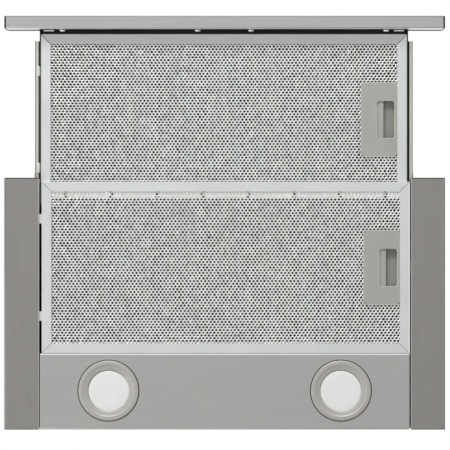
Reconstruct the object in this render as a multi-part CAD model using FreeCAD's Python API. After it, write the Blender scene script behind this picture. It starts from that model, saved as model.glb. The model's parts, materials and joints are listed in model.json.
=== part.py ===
import FreeCAD, Part
import math
import os
from FreeCAD import Vector

# A telescopic range hood insert for a 50 cm wall cabinet, drawn with its visor pulled out.
# Millimetres. X runs to the right of someone facing the hood, Y to the wall, Z up. Pieces are
# drawn from the wall plane (y = 0, the room side is negative) and from the underside (z = 0),
# and save() then moves the origin to the middle of the duct outlet, on the flange of its collar.
# A filter's own pieces are drawn round the filter's middle, and placed() sets them in the hood.

# Overall sizes
hood_width = 498.0
trim_depth = 283.4
casing_height = 178.0
casing_set_back = 0.4
flange_room = 1.5
mouth_lip = 9.0
visor_travel = 168.5
bar_height = 30.0
bar_depth = 14.0
duct_radius = 60.0
duct_from_wall = 140.0

# Sheet metal
sheet = 0.8
fold_radius = 0.7
small_gap = 0.3

# The casing, its slides and the visor's tray stand this far to the right of the trims' middle
core_shift = -0.9

# Slides: a channel on the tray, a smaller channel on the casing, and balls between them
slide_width = 6.5
slide_level = 14.3
slide_height = 13.5
slide_length = 250.0
slide_overhang = 7.6
slide_set_back = 13.4
slide_sheet = 1.0
ball_radius = 1.2
ball_clearance = 0.05
cage_sheet = 0.5
cage_length = 70.0
balls_in_row = 2
ball_from_web = 2.5
cage_from_web = 0.4
cage_from_casing = 1.4

# Filters
filter_width = 415.9
filter_depth = 193.7
filter_height = 9.0
filter_rim = 11.0
fixed_filter_level = 1.0
fixed_filter_shift = 1.05
visor_filter_level = 12.2
filter_side_gap = 0.35
mesh_sheet = 0.8
mesh_columns = 5
mesh_rows = 6
mesh_strand = 14.0
mesh_slit = 3.4
core_pleats = 16
core_sheet = 0.6
lug_width = 10.5
lug_spacing = 110.0
lug_reach = 4.45
lug_sheet = 1.1
lug_level = 0.6
slot_gap = 0.25

# Handle plate and latch of a filter
plate_width = 40.7
plate_length = 83.2
plate_sheet = 1.2
plate_corner = 3.8
finger_from_left = 17.3
finger_width = 20.2
finger_length = 42.0
finger_corner = 3.4
housing_top = 7.2
housing_inset = 1.0
grip_width = 7.8
grip_under_plate = 4.0
latch_level = 2.6
latch_thickness = 2.4
latch_arm_width = 4.5
bolt_width = 14.0
bolt_reach = 2.2

# Lamp panel and lamps
panel_past_filter = 0.6
lamp_panel_depth = 85.8
panel_flange = 9.8
rear_flange = 19.0
panel_gap = 0.4
lamp_spacing = 262.6
lamp_from_wall = 44.0
lamp_radius = 35.0
lamp_cup_radius = 30.0
lamp_step_radius = 28.2
diffuser_radius = 22.8
diffuser_recess = 0.3
diffuser_gap = 0.1
diffuser_seat = 4.0
bezel_proud = 1.5
bezel_wall = 1.5
lamp_cup_height = 26.0
lamp_cup_sides = 24
lamp_ring_sides = 48
lamp_cup_gap = 0.5
lamp_clip_sheet = 0.6
lamp_clip_width = 10.0
led_plate_radius = 25.0
led_plate_height = 4.0
led_ring_radius = 14.0
led_size = 3.0
led_count = 6

# Side trims
trim_gap_left = 1.75
trim_gap_right = 2.45
trim_wall = 10.0
trim_outer_wall = 18.0
trim_seat = 15.0
buffer_thickness = 1.1
closing_gap = 0.4
rivets_per_side = 2
rivet_radius = 0.9
rivet_head_radius = 1.3
rivet_head_height = 0.8
rivet_gap = 0.1

# Visor
visor_filter_set_back = 4.9
tray_wall_level = 10.8
tray_front_level = 9.0
tray_past_filter = 4.0
tray_ledge = 8.0
bar_lower_lip = 16.0
bar_upper_lip = 5.0
end_cap_thickness = 2.0
end_cap_corner = 1.4
end_cap_plug_length = 9.7
end_cap_plug_wall = 2.0
visor_screw_shift = -0.4
inner_screw_from_middle = 30.3
outer_screw_from_side = 25.3
visor_screw_level = 13.0
visor_screw_length = 3.2
visor_head_radius = 4.0
visor_head_height = 2.3
rear_screw_length = 5.0
rear_head_radius = 3.6
rear_head_height = 1.4
screw_radius = 1.7
screw_gap = 0.1
cover_gap = 0.2
cover_lip = 2.2
bead_count = 4
bead_width = 8.0
bead_height = 1.0
bead_slope = 2.0
clip_from_side = 10.4
clip_width = 11.5
clip_level = 11.0
clip_top = 19.0
clip_tab = 1.6

# Push buttons
button_pitch = 15.0
button_width = 9.0
button_gap = 0.3
button_edge = 0.5
button_collar = 1.0
button_flange = 1.0
button_travel = 2.2
button_stem = 5.2
button_stem_length = 5.0
switch_wall = 3.0
last_button_x = 195.0

# Blower
impeller_radius = 48.0
impeller_width = 80.0
blade_count = 20
blade_depth = 8.0
blade_sweep = 9.0
blade_sheet = 1.0
hub_radius = 9.0
hub_length = 20.0
impeller_disc = 1.6
impeller_ring = 2.0
impeller_edge = 0.5
scroll_start = 54.0
scroll_growth = 4.5
scroll_width = 96.0
scroll_wall = 2.0
scroll_flange = 4.0
inlet_radius = 40.0
bell_depth = 4.0
bell_wall = 4.0
bell_sides = 24
impeller_level = 98.0
impeller_from_duct = 13.0
tongue_angle = 50.0
shaft_radius = 4.0
shaft_clearance = 0.03
motor_radius = 29.0
motor_length = 54.0
motor_sides = 24
motor_front_x = -12.0
motor_boss_radius = 9.0
shaft_in_motor = 18.0
bush_radius = 5.0
bush_length = 10.0
bush_circle = 50.0
motor_grip_wall = 1.5
motor_grip_length = 10.0
motor_arm_width = 14.0
motor_arm_sheet = 2.0

# Duct collar and flaps
collar_length = 31.5
collar_wall = 2.0
collar_flange = 2.5
collar_flange_radius = 72.0
stop_reach = 4.0
stop_width = 8.0
stop_height = 2.0
flap_gap = 1.0
flap_sheet = 1.2
flap_pin_radius = 1.5
flap_pin_clearance = 0.04
flap_barrel_radius = 2.6
flap_barrel_length = 18.0
flap_barrel_reach = 36.0
flap_pin_level = 8.0

# Brackets to the cabinet
cabinet_side = 17.0
bracket_sheet = 1.5
bracket_length = 200.0
bracket_foot = 40.0
bracket_step_below_holes = 25.0
bracket_above_holes = 20.0
bracket_hole_spacing = 160.0
bracket_hole_radius = 2.6
bracket_hole_level = 130.0

# Electrical pieces inside the casing
gland_from_side = 45.6
gland_from_wall = 40.0
gland_thread = 6.0
gland_thread_gap = 0.2
gland_bore = 3.5
gland_flats = 9.0
gland_head = 8.0
gland_nut = 4.0
terminal_box_from_side = 50.6
terminal_box_level = 118.0
terminal_box_size = (70.0, 24.0, 38.0)
terminal_lid_edge = 1.5
terminal_lid_sheet = 3.0
terminal_spout_radius = 5.0
terminal_spout_length = 8.0
driver_from_side = 64.7
driver_level = 75.0
driver_size = (64.0, 24.0, 30.0)
driver_foot = 8.0
driver_foot_sheet = 2.0
capacitor_from_middle = 95.9
capacitor_from_wall = 60.0
capacitor_radius = 14.0
capacitor_length = 52.0

# Levels and distances that follow from the sizes above
half_width = hood_width / 2
bar_back = trim_depth + buffer_thickness + closing_gap + visor_travel
bar_front = bar_back + bar_depth
lamp_panel_width = filter_width + 2 * panel_past_filter
trim_inner_left = filter_width / 2 + trim_gap_left
trim_inner_right = filter_width / 2 + trim_gap_right
cabinet_inner_width = hood_width - 2 * cabinet_side
tray_half = filter_width / 2 + filter_side_gap
tray_outer = tray_half + sheet
slide_outer = tray_outer + slide_width
casing_outer = slide_outer + sheet
casing_front = trim_depth - casing_set_back
slide_top = slide_level + slide_height
cover_level = slide_top + cover_gap
mouth_top = cover_level + sheet + cover_lip
ball_room = 2 * (ball_radius + ball_clearance)
slide_moving_front = bar_back - slide_set_back
slide_fixed_front = trim_depth + slide_overhang
visor_filter_front = bar_back - sheet - visor_filter_set_back
tray_rear = visor_filter_front - filter_depth - tray_past_filter
fixed_filter_front = lamp_panel_depth + panel_gap + filter_depth
ledge_level = visor_filter_level + filter_height + small_gap
casing_inside_top = casing_height - sheet
impeller_y = -duct_from_wall + impeller_from_duct
outlet_level = casing_height + collar_flange
rear_screw_level = panel_flange + 4
plate_right = filter_width / 2 - filter_rim
plate_left = plate_right - plate_width
finger_left = plate_left + finger_from_left
finger_right = finger_left + finger_width
switch_front = bar_front - sheet
bush_end_x = -scroll_width / 2 - bush_length
flap_axis_level = outlet_level + flap_pin_level
flap_plate_level = flap_axis_level - flap_barrel_radius - 0.1 - flap_sheet
stop_level = flap_plate_level - small_gap

UP = Vector(0, 0, 1)
RIGHT = Vector(1, 0, 0)
TO_WALL = Vector(0, 1, 0)


def box(x0, x1, y0, y1, z0, z1):
    """A block between two corners, given in either order along each axis."""
    low = Vector(min(x0, x1), min(y0, y1), min(z0, z1))
    return Part.makeBox(abs(x1 - x0), abs(y1 - y0), abs(z1 - z0), low)


def rod(radius, length, base, direction=UP):
    return Part.makeCylinder(radius, length, base, direction)


def many_sided(radius, length, base, direction=UP, sides=8):
    """A prism whose flats lie at the radius. Small fasteners, the holes they go through and round
    pieces inside the casing have this form instead of a round one, which keeps the model light."""
    across = RIGHT if abs(direction.x) < 0.5 else UP
    other = direction.cross(across)
    reach = radius / math.cos(math.pi / sides)
    angles = [math.tau * (number + 0.5) / sides for number in range(sides)]
    points = [base + across * reach * math.cos(a) + other * reach * math.sin(a) for a in angles]
    return prism(points, direction * length)


def group(shapes):
    """Separate solids that share one node."""
    return Part.makeCompound(list(shapes))


def joined(shapes):
    """Shapes that touch or overlap, fused into one clean solid."""
    first, *rest = shapes
    return first.multiFuse(rest).removeSplitter() if rest else first


def prism(points, along):
    """A polygon through points, drawn out along a vector."""
    return Part.Face(Part.makePolygon(points + [points[0]])).extrude(along)


def revolved(outline, base):
    """A round piece: outline is (radius, height) pairs, turned about the upright through base."""
    points = [base + RIGHT * radius + UP * height for radius, height in outline]
    return Part.Face(Part.makePolygon(points + [points[0]])).revolve(base, UP, 360)


def turned(outline, base, sides, axis=UP, across=RIGHT):
    """Like revolved(), with flats: its edges run through the outline's points."""
    other = axis.cross(across)

    def spoke(number):
        angle = math.tau * number / sides
        outward = across * math.cos(angle) + other * math.sin(angle)
        return [base + outward * radius + axis * height for radius, height in outline]

    faces = []
    for number in range(sides):
        one, two = spoke(number), spoke(number + 1)
        for before in range(len(outline)):
            after = (before + 1) % len(outline)
            corners = [one[before], one[after]]
            if outline[after][0] > 0:
                corners.append(two[after])
            if outline[before][0] > 0:
                corners.append(two[before])
            if len(corners) > 2:
                faces.append(Part.Face(Part.makePolygon(corners + corners[:1])))
    solid = Part.Solid(Part.Shell(faces))
    if solid.Volume < 0:
        solid.reverse()
    return solid.removeSplitter()


def mirrored(shape, middle_x=0.0):
    return shape.mirror(Vector(middle_x, 0, 0), RIGHT)


def rounded_path(points, radii):
    """Straight runs through points, with an arc of its own radius at each inner point."""
    edges = []
    start = points[0]
    for before, at, after, radius in zip(points, points[1:], points[2:], radii):
        back = (before - at).normalize()
        onward = (after - at).normalize()
        half_turn = back.getAngle(onward) / 2
        reach = radius / math.tan(half_turn)
        inward = (back + onward).normalize()
        middle = at + inward * (radius / math.sin(half_turn) - radius)
        edges.append(Part.LineSegment(start, at + back * reach).toShape())
        edges.append(Part.Arc(at + back * reach, middle, at + onward * reach).toShape())
        start = at + onward * reach
    edges.append(Part.LineSegment(start, points[-1]).toShape())
    return edges


def other_face(path, along, thickness):
    """The corners of a sheet's other face: the path moved by the sheet's thickness to the side
    that the cross product of along and the path's direction points to."""
    axis = Vector(along).normalize()
    sides = [axis.cross((b - a).normalize()) for a, b in zip(path, path[1:])]
    other = [path[0] + sides[0] * thickness]
    for point, one, two in zip(path[1:], sides, sides[1:]):
        other.append(point + (one + two) * (thickness / (1 + one.dot(two))))
    other.append(path[-1] + sides[-1] * thickness)
    return other, sides


def square_sheet(path, along, thickness=sheet):
    """A sheet with sharp folds, drawn along a vector. The path is one of its two faces."""
    other, _ = other_face(path, along, thickness)
    return prism(path + other[::-1], along)


def folded_sheet(path, along, thickness=sheet, bend=fold_radius):
    """A sheet with rounded folds, drawn along a vector. The path is one of its two faces."""
    other, sides = other_face(path, along, thickness)
    axis = Vector(along).normalize()
    inward_turns = [one.cross(two).dot(axis) > 0 for one, two in zip(sides, sides[1:])]
    near = [bend + thickness if inward else bend for inward in inward_turns]
    far = [bend if inward else bend + thickness for inward in inward_turns]
    edges = rounded_path(path, near)
    edges.append(Part.LineSegment(path[-1], other[-1]).toShape())
    edges += rounded_path(other[::-1], far[::-1])
    edges.append(Part.LineSegment(other[0], path[0]).toShape())
    return Part.Face(Part.Wire(edges)).extrude(along)


def rounded_plate(x0, x1, y0, y1, z0, z1, corner):
    """A plate with rounded upright corners."""
    plate = box(x0, x1, y0, y1, z0, z1)
    upright = [edge for edge in plate.Edges if abs(edge.tangentAt(edge.FirstParameter).z) > 0.9]
    return plate.makeFillet(corner, upright)


def screw(at, direction, shank_radius, shank_length, head_radius, head_height):
    """A screw whose head sits on a surface at a point, and whose shank goes along direction."""
    shank = many_sided(shank_radius, shank_length, at, direction)
    head = many_sided(head_radius, head_height, at - direction * head_height, direction, 12)
    return joined([shank, head])


def core_x(distance):
    """The x at this distance to the left of the middle of the casing."""
    return core_shift - distance


def casing_reach(side):
    """How far the casing's outer face lies from x = 0, on the left (-1) or the right (1)."""
    return casing_outer + side * core_shift


def filter_places():
    """The names and the bottom middles of the two filters."""
    visor = Vector(core_shift, -visor_filter_front + filter_depth / 2, visor_filter_level)
    fixed = Vector(fixed_filter_shift, -fixed_filter_front + filter_depth / 2, fixed_filter_level)
    return {"visor": visor, "fixed": fixed}


def placed(shape, place):
    moved = shape.copy()
    moved.translate(place)
    return moved


def lug_holes(place):
    """Cutters for the slots that a filter's two lugs reach through, at its left edge."""
    edge = place.x - filter_width / 2
    half = lug_width / 2 + slot_gap
    low = place.z + lug_level - slot_gap
    high = place.z + lug_level + lug_sheet + slot_gap
    middles = (place.y - lug_spacing / 2, place.y + lug_spacing / 2)
    return [box(edge - lug_reach - 1, edge - 0.1, y - half, y + half, low, high) for y in middles]


def bolt_hole(place):
    """A cutter for the slot that a filter's latch bolt snaps into, at its right edge."""
    edge = place.x + filter_width / 2
    half = bolt_width / 2 + slot_gap
    low = place.z + latch_level - slot_gap
    high = place.z + latch_level + latch_thickness + slot_gap
    return box(edge - sheet - 1, edge + bolt_reach + 1, place.y - half, place.y + half, low, high)


def rivet_places():
    """Where the trims' shelves are riveted to the casing's bottom flanges."""
    reach = slide_outer - rivet_head_radius - rivet_gap
    step = trim_depth / rivets_per_side
    rows = [-step * (number + 0.5) for number in range(rivets_per_side)]
    return [(core_shift + side * reach, y) for side in (-1, 1) for y in rows]


def rear_screw_places():
    outer = lamp_panel_width / 2 - 12.5
    inner = outer * 0.41
    return [Vector(x, 0, rear_screw_level) for x in (-outer, -inner, inner, outer)]


def lamp_places():
    return {
        "left": Vector(-lamp_spacing / 2, -lamp_from_wall, 0),
        "right": Vector(lamp_spacing / 2, -lamp_from_wall, 0),
    }


def gland_place():
    return Vector(core_x(slide_outer - gland_from_side), -gland_from_wall, casing_height)


# Casing


def casing_shell():
    """The casing's four walls, with a low mouth for the visor in the front one, and the flanges
    at their lower edges."""
    left, right = core_x(casing_outer), core_x(-casing_outer)
    inner_left, inner_right = core_x(slide_outer), core_x(-slide_outer)
    low, high = trim_wall, casing_inside_top
    shell = box(left, right, -casing_front, -sheet, low, high)
    inside = box(inner_left, inner_right, -casing_front + sheet, -2 * sheet, low - 1, high + 1)
    mouth = box(
        inner_left, inner_right, -casing_front - 1, -casing_front + 2 * sheet, low - 1, mouth_top
    )
    flange = box(left, core_x(tray_outer + flange_room), -casing_front, -sheet, low, low + sheet)
    lip = box(
        inner_left, inner_right,
        -casing_front, -casing_front + mouth_lip, mouth_top, mouth_top + sheet,
    )
    shell = joined([shell.cut(inside).cut(mouth), lip, flange, mirrored(flange, core_shift)])
    cutters = [screw_hole(place) for place in rear_screw_places()]
    cutters += [rivet_hole(x, y) for x, y in rivet_places()]
    return shell.cut(group(cutters))


def casing_top():
    """The plate that closes the casing from above, with the holes for the duct and the gland."""
    left, right = core_x(casing_outer), core_x(-casing_outer)
    plate = box(left, right, -casing_front, -sheet, casing_inside_top, casing_height)
    duct = Vector(0, -duct_from_wall, casing_inside_top - 1)
    gland = gland_place() - UP * (sheet + 1)
    cutters = [
        rod(duct_radius - collar_wall, sheet + 2, duct),
        rod(gland_thread + gland_thread_gap, sheet + 2, gland),
    ]
    return plate.cut(group(cutters))


def screw_hole(at):
    """A cutter for the hole that a screw along Y goes through, 4 mm each way from its seat."""
    return many_sided(screw_radius + screw_gap, 8, at - TO_WALL * 4, TO_WALL)


def rivet_hole(x, y):
    """A cutter for a rivet's hole in a trim's shelf and in the casing's flange above it."""
    return many_sided(rivet_radius + rivet_gap, 4 * sheet, Vector(x, y, trim_wall - 2 * sheet))


def trim_rivets():
    """The set rivets that hold the trims' shelves up against the casing's flanges."""
    low = trim_wall - sheet
    height, grip = rivet_head_height, 2 * sheet
    rivets = []
    for x, y in rivet_places():
        shank = many_sided(rivet_radius, grip + height, Vector(x, y, low - height / 2))
        lower = many_sided(rivet_head_radius, height, Vector(x, y, low - height))
        upper = many_sided(rivet_head_radius, height, Vector(x, y, low + grip))
        rivets.append(joined([shank, lower, upper]))
    return group(rivets)


def rear_screws():
    """The screws that hold the lamp panel's rear flange to the casing."""
    toward_room = TO_WALL * -1
    return group(
        screw(place, toward_room, screw_radius, rear_screw_length, rear_head_radius, rear_head_height)
        for place in rear_screw_places()
    )


def side_trim(side, inner):
    """The folded trim that hides the gap beside the casing and carries the cabinet's side."""
    shelf_end = -(casing_reach(side) - 1)
    corners = [
        (shelf_end, trim_wall),
        (-inner, trim_wall),
        (-inner, 0),
        (-half_width, 0),
        (-half_width, trim_outer_wall),
        (-half_width + trim_seat, trim_outer_wall),
    ]
    path = [Vector(x, -trim_depth, z) for x, z in corners]
    trim = folded_sheet(path, TO_WALL * trim_depth)
    inset = sheet / 2
    ends = [
        box(-half_width + inset, -inner - inset, y, y + sheet, inset, trim_wall - inset)
        for y in (-trim_depth, -sheet)
    ]
    trim = joined([trim, *ends])
    if side > 0:
        trim = mirrored(trim)
    cutters = [rivet_hole(x, y) for x, y in rivet_places() if x * side > 0]
    fixed = filter_places()["fixed"]
    cutters += [bolt_hole(fixed)] if side > 0 else lug_holes(fixed)
    return trim.cut(group(cutters))


def closing_buffers():
    """Rubber strips on the trims' front edges, which the bar closes against."""
    front = -trim_depth - buffer_thickness
    strips = []
    for side, inner in ((-1, trim_inner_left), (1, trim_inner_right)):
        near, far = side * (inner + 1.8), side * (half_width - 0.2)
        strips.append(box(near, far, front, -trim_depth, 0.3, trim_wall - 1))
    return group(strips)


def mounting_bracket(side):
    """A stepped bracket from the casing's side to the cabinet's side, with two screw holes."""
    near = -casing_reach(side)
    far = -cabinet_inner_width / 2 + bracket_sheet
    step_level = bracket_hole_level - bracket_step_below_holes
    corners = [
        (near, step_level - bracket_foot),
        (near, step_level),
        (far, step_level),
        (far, bracket_hole_level + bracket_above_holes),
    ]
    rear = -(trim_depth - bracket_length) / 2
    path = [Vector(x, rear, z) for x, z in corners]
    bracket = square_sheet(path, TO_WALL * -bracket_length, bracket_sheet)
    middle = rear - bracket_length / 2
    for y in (middle - bracket_hole_spacing / 2, middle + bracket_hole_spacing / 2):
        base = Vector(-cabinet_inner_width / 2 - 1, y, bracket_hole_level)
        bracket = bracket.cut(rod(bracket_hole_radius, bracket_sheet + 2, base, RIGHT))
    return mirrored(bracket) if side > 0 else bracket


# Lamps


def lamp_panel():
    """The brushed panel along the wall that carries the lamps."""
    half = lamp_panel_width / 2
    corners = [(-lamp_panel_depth, panel_flange), (-lamp_panel_depth, 0), (0, 0), (0, rear_flange)]
    path = [Vector(-half, y, z) for y, z in corners]
    inset = sheet / 2
    sides = [
        box(x, x + sheet, -lamp_panel_depth + inset, -inset, inset, panel_flange)
        for x in (-half, half - sheet)
    ]
    panel = joined([folded_sheet(path, RIGHT * lamp_panel_width), *sides])
    cutters = [
        rod(lamp_cup_radius + lamp_cup_gap, 4 * sheet, place - UP * 2 * sheet)
        for place in lamp_places().values()
    ]
    cutters += [screw_hole(place) for place in rear_screw_places()]
    return panel.cut(group(cutters))


def lamp_bezel(base):
    """A recessed lamp's ring, which lies against the panel from below, and the cup behind it."""
    outline = [
        (lamp_radius, 0),
        (lamp_radius - 0.5, -bezel_proud),
        (lamp_step_radius, -bezel_proud),
        (diffuser_radius, diffuser_recess),
        (diffuser_radius, bezel_wall),
        (lamp_cup_radius, bezel_wall),
        (lamp_cup_radius, 0),
    ]
    ring = turned(outline, base, lamp_ring_sides)
    start = base + UP * bezel_wall
    flats = lamp_cup_radius * math.cos(math.pi / lamp_cup_sides)
    cup = many_sided(flats, lamp_cup_height - bezel_wall, start, UP, lamp_cup_sides)
    hollow = many_sided(
        lamp_cup_radius - bezel_wall, lamp_cup_height - 2 * bezel_wall, start, UP, lamp_cup_sides
    )
    return joined([ring, cup.cut(hollow)])


def lamp_diffuser(base):
    """The frosted disc that closes the lamp, with a shallow dome below and a seat inside."""
    edge = diffuser_radius - diffuser_gap
    seat = bezel_wall + diffuser_gap / 2
    outline = [(0, diffuser_recess), (edge, diffuser_recess + 0.5), (edge, seat), (0, seat)]
    dome = turned(outline, base, lamp_ring_sides)
    rim = many_sided(edge + diffuser_seat, 1.2, base + UP * seat, UP, lamp_cup_sides)
    return joined([dome, rim])


def led_module(base):
    """A heat spreader under the lamp's roof, with a ring of light sources on its lower side."""
    low = lamp_cup_height - bezel_wall - led_plate_height
    shapes = [many_sided(led_plate_radius, led_plate_height, base + UP * low, UP, 12)]
    half = led_size / 2
    for number in range(led_count):
        angle = math.tau * number / led_count
        x, y = base.x + led_ring_radius * math.cos(angle), base.y + led_ring_radius * math.sin(angle)
        shapes.append(box(x - half, x + half, y - half, y + half, low - 1, low))
    return joined(shapes)


def lamp_clips():
    """Leaf springs that pull each lamp's flange up against the panel."""
    start = lamp_cup_radius + lamp_clip_sheet
    corners = [(start, 14), (start, 22), (start + 6, 18), (start + 9, sheet), (start + 14, sheet)]
    half = lamp_clip_width / 2
    path = [Vector(x, half, z) for x, z in corners]
    clip = square_sheet(path, TO_WALL * -lamp_clip_width, lamp_clip_sheet)
    clips = []
    for base in lamp_places().values():
        clips += [placed(clip, base), placed(mirrored(clip), base)]
    return group(clips)


# Slides


def slide_moving(side):
    """The channel that is fixed to the side of the visor's tray."""
    wall, edge = core_x(tray_outer), core_x(slide_outer - slide_sheet + 0.1)
    corners = [(edge, slide_level), (wall, slide_level), (wall, slide_top), (edge, slide_top)]
    rear = -slide_moving_front + slide_length
    path = [Vector(x, rear, z) for x, z in corners]
    channel = square_sheet(path, TO_WALL * -slide_length, slide_sheet)
    if side > 0:
        channel = mirrored(channel, core_shift).cut(bolt_hole(filter_places()["visor"]))
    return channel


def slide_fixed(side):
    """The smaller channel that is fixed to the casing and runs inside the moving one."""
    wall, edge = core_x(slide_outer), core_x(tray_outer + slide_sheet + 2)
    low = slide_level + slide_sheet + ball_room
    high = slide_top - slide_sheet - ball_room
    corners = [(edge, low), (wall, low), (wall, high), (edge, high)]
    path = [Vector(x, -slide_fixed_front, z) for x, z in corners]
    channel = square_sheet(path, TO_WALL * slide_length)
    return mirrored(channel, core_shift) if side > 0 else channel


def ball(middle):
    """A ball with few facets: what three eight-sided prisms across each other have in common."""
    length = 2 * ball_radius
    prisms = [
        many_sided(ball_radius, length, middle - axis * ball_radius, axis)
        for axis in (RIGHT, TO_WALL, UP)
    ]
    return prisms[0].common(prisms[1]).common(prisms[2])


def ball_cage(side):
    """The retainer and its two rows of balls, halfway between the two channels' motions."""
    low = slide_level + slide_sheet + ball_room / 2
    high = slide_top - slide_sheet - ball_room / 2
    web = core_x(tray_outer + slide_sheet + cage_from_web)
    edge = core_x(slide_outer - cage_from_casing)
    half = cage_sheet / 2
    corners = [(edge, low - half), (web, low - half), (web, high + half), (edge, high + half)]
    overlap_middle = -(slide_fixed_front + slide_moving_front - slide_length) / 2
    rear = overlap_middle + cage_length / 2
    path = [Vector(x, rear, z) for x, z in corners]
    cage = square_sheet(path, TO_WALL * -cage_length, cage_sheet)
    ball_x = core_x(tray_outer + slide_sheet + ball_from_web)
    pitch = cage_length / balls_in_row
    places = [
        Vector(ball_x, rear - pitch * (number + 0.5), z)
        for z in (low, high)
        for number in range(balls_in_row)
    ]
    room = ball_radius + ball_clearance
    windows = [
        box(at.x - room, at.x + room, at.y - room, at.y + room, at.z - 1, at.z + 1) for at in places
    ]
    cage = cage.cut(group(windows))
    balls = [ball(place) for place in places]
    shapes = [cage, *balls]
    return group(mirrored(shape, core_shift) for shape in shapes) if side > 0 else group(shapes)


# Visor


def visor_tray():
    """The black tray: a front wall, two side walls, and a ledge over the filter's edge."""
    left, right = core_x(tray_outer), core_x(-tray_outer)
    front = box(left, right, -bar_back, -bar_back + sheet, tray_front_level, cover_level)
    walls = [
        box(x, x + sheet, -bar_back, -tray_rear, tray_wall_level, cover_level)
        for x in (left, right - sheet)
    ]
    ledge = box(left, right, -bar_back, -tray_rear, ledge_level, ledge_level + sheet)
    opening = box(
        left + sheet + tray_ledge, right - sheet - tray_ledge,
        -visor_filter_front + filter_rim, -tray_rear - filter_rim,
        ledge_level - 1, ledge_level + 2,
    )
    tray = joined([front, *walls, ledge.cut(opening)])
    place = filter_places()["visor"]
    cutters = lug_holes(place) + [bolt_hole(place)]
    cutters += [screw_hole(at) for at in visor_screw_places()]
    return tray.cut(group(cutters))


def visor_cover():
    """The sheet that closes the tray from above, with pressed beads and an upturned rear edge."""
    reach = tray_outer
    front, rear = -bar_back, -tray_rear
    corners = [(front, cover_level), (rear, cover_level), (rear, cover_level + cover_lip)]
    path = [Vector(core_x(reach), y, z) for y, z in corners]
    cover = square_sheet(path, RIGHT * 2 * reach)
    bead_length = (rear - front) * 0.7
    middle = (front + rear) / 2
    low = cover_level + sheet
    half, top_half = bead_width / 2, bead_width / 2 - bead_slope
    beads = []
    for number in range(bead_count):
        x = core_x(reach * (1 - (2 * number + 1) / bead_count))
        section = [(x - half, low), (x + half, low)]
        section += [(x + top_half, low + bead_height), (x - top_half, low + bead_height)]
        corners = [Vector(u, middle - bead_length / 2, w) for u, w in section]
        beads.append(prism(corners, TO_WALL * bead_length))
    return joined([cover, *beads])


def visor_screw_places():
    outer = tray_outer - outer_screw_from_side
    xs = [-outer, -inner_screw_from_middle, inner_screw_from_middle, outer]
    return [Vector(x + visor_screw_shift, -bar_back + sheet, visor_screw_level) for x in xs]


def visor_screws():
    """The screws through the tray's front wall into the bar's lower lip."""
    toward_room = TO_WALL * -1
    shank = (screw_radius, visor_screw_length)
    head = (visor_head_radius, visor_head_height)
    return group(screw(at, toward_room, *shank, *head) for at in visor_screw_places())


def visor_clips():
    """Two bent tabs on the tray's front wall."""
    clips = []
    back = -bar_back + sheet
    for x in (core_x(tray_outer - clip_from_side), core_x(clip_from_side - tray_outer)):
        corners = [(back, clip_top), (back, clip_level), (back + clip_tab, clip_level)]
        path = [Vector(x - clip_width / 2, y, z) for y, z in corners]
        clips.append(square_sheet(path, RIGHT * clip_width))
    return group(clips)


def front_bar():
    """The folded steel bar across the front, with a lip behind it at its bottom and top."""
    half = half_width - end_cap_thickness
    corners = [
        (-bar_back, bar_lower_lip),
        (-bar_back, 0),
        (-bar_front, 0),
        (-bar_front, bar_height),
        (-bar_back, bar_height),
        (-bar_back, bar_height - bar_upper_lip),
    ]
    path = [Vector(half, y, z) for y, z in corners]
    bar = folded_sheet(path, RIGHT * -2 * half)
    room = button_width / 2 + button_gap
    low, high = bar_height / 2 - room, bar_height / 2 + room
    cutters = [
        box(x - room, x + room, -bar_front - 1, -bar_front + sheet + 1, low, high)
        for x in button_places().values()
    ]
    cutters += [screw_hole(at) for at in visor_screw_places()]
    return bar.cut(group(cutters))


def end_caps():
    """The black plastic caps that close the bar's two ends, each with a plug inside it."""
    face = box(0, end_cap_thickness, -bar_front, -bar_back, 0, bar_height)
    along = [edge for edge in face.Edges if abs(edge.tangentAt(edge.FirstParameter).x) > 0.9]
    face = face.makeFillet(end_cap_corner, along)
    inset = sheet + 0.2
    front, back, low, high = -bar_front + inset, -bar_back - inset, inset, bar_height - inset
    wall = end_cap_plug_wall
    plug = box(end_cap_thickness - 0.1, end_cap_plug_length, front, back, low, high)
    hollow = box(
        end_cap_thickness, end_cap_plug_length + 1, front + wall, back - wall, low + wall, high - wall
    )
    cap = placed(joined([face, plug.cut(hollow)]), RIGHT * -half_width)
    return group([cap, mirrored(cap)])


# Push buttons


def button_places():
    """The x of each button's middle, from the lamp button on the left to the third speed."""
    names = ("light_button", "stop_button", "speed_button_1", "speed_button_2", "speed_button_3")
    first = last_button_x - button_pitch * (len(names) - 1)
    return {name: first + button_pitch * number for number, name in enumerate(names)}


def push_button(x):
    """A square key, flush with the bar. Its collar keeps it behind the bar's face, and its stem
    goes into a well of the switch block."""
    level, half = bar_height / 2, button_width / 2
    collar_front = -bar_front + sheet + button_gap
    collar_rear = collar_front + button_collar
    key = box(x - half, x + half, -bar_front, collar_front, level - half, level + half)
    front_edges = [edge for edge in key.Edges if edge.BoundBox.YMax < -bar_front + button_edge / 2]
    key = key.makeChamfer(button_edge, front_edges)
    reach = half + button_flange
    collar = box(x - reach, x + reach, collar_front, collar_rear, level - reach, level + reach)
    half = button_stem / 2
    stem_rear = collar_rear + button_stem_length
    stem = box(x - half, x + half, collar_front, stem_rear, level - half, level + half)
    return joined([key, collar, stem])


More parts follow.
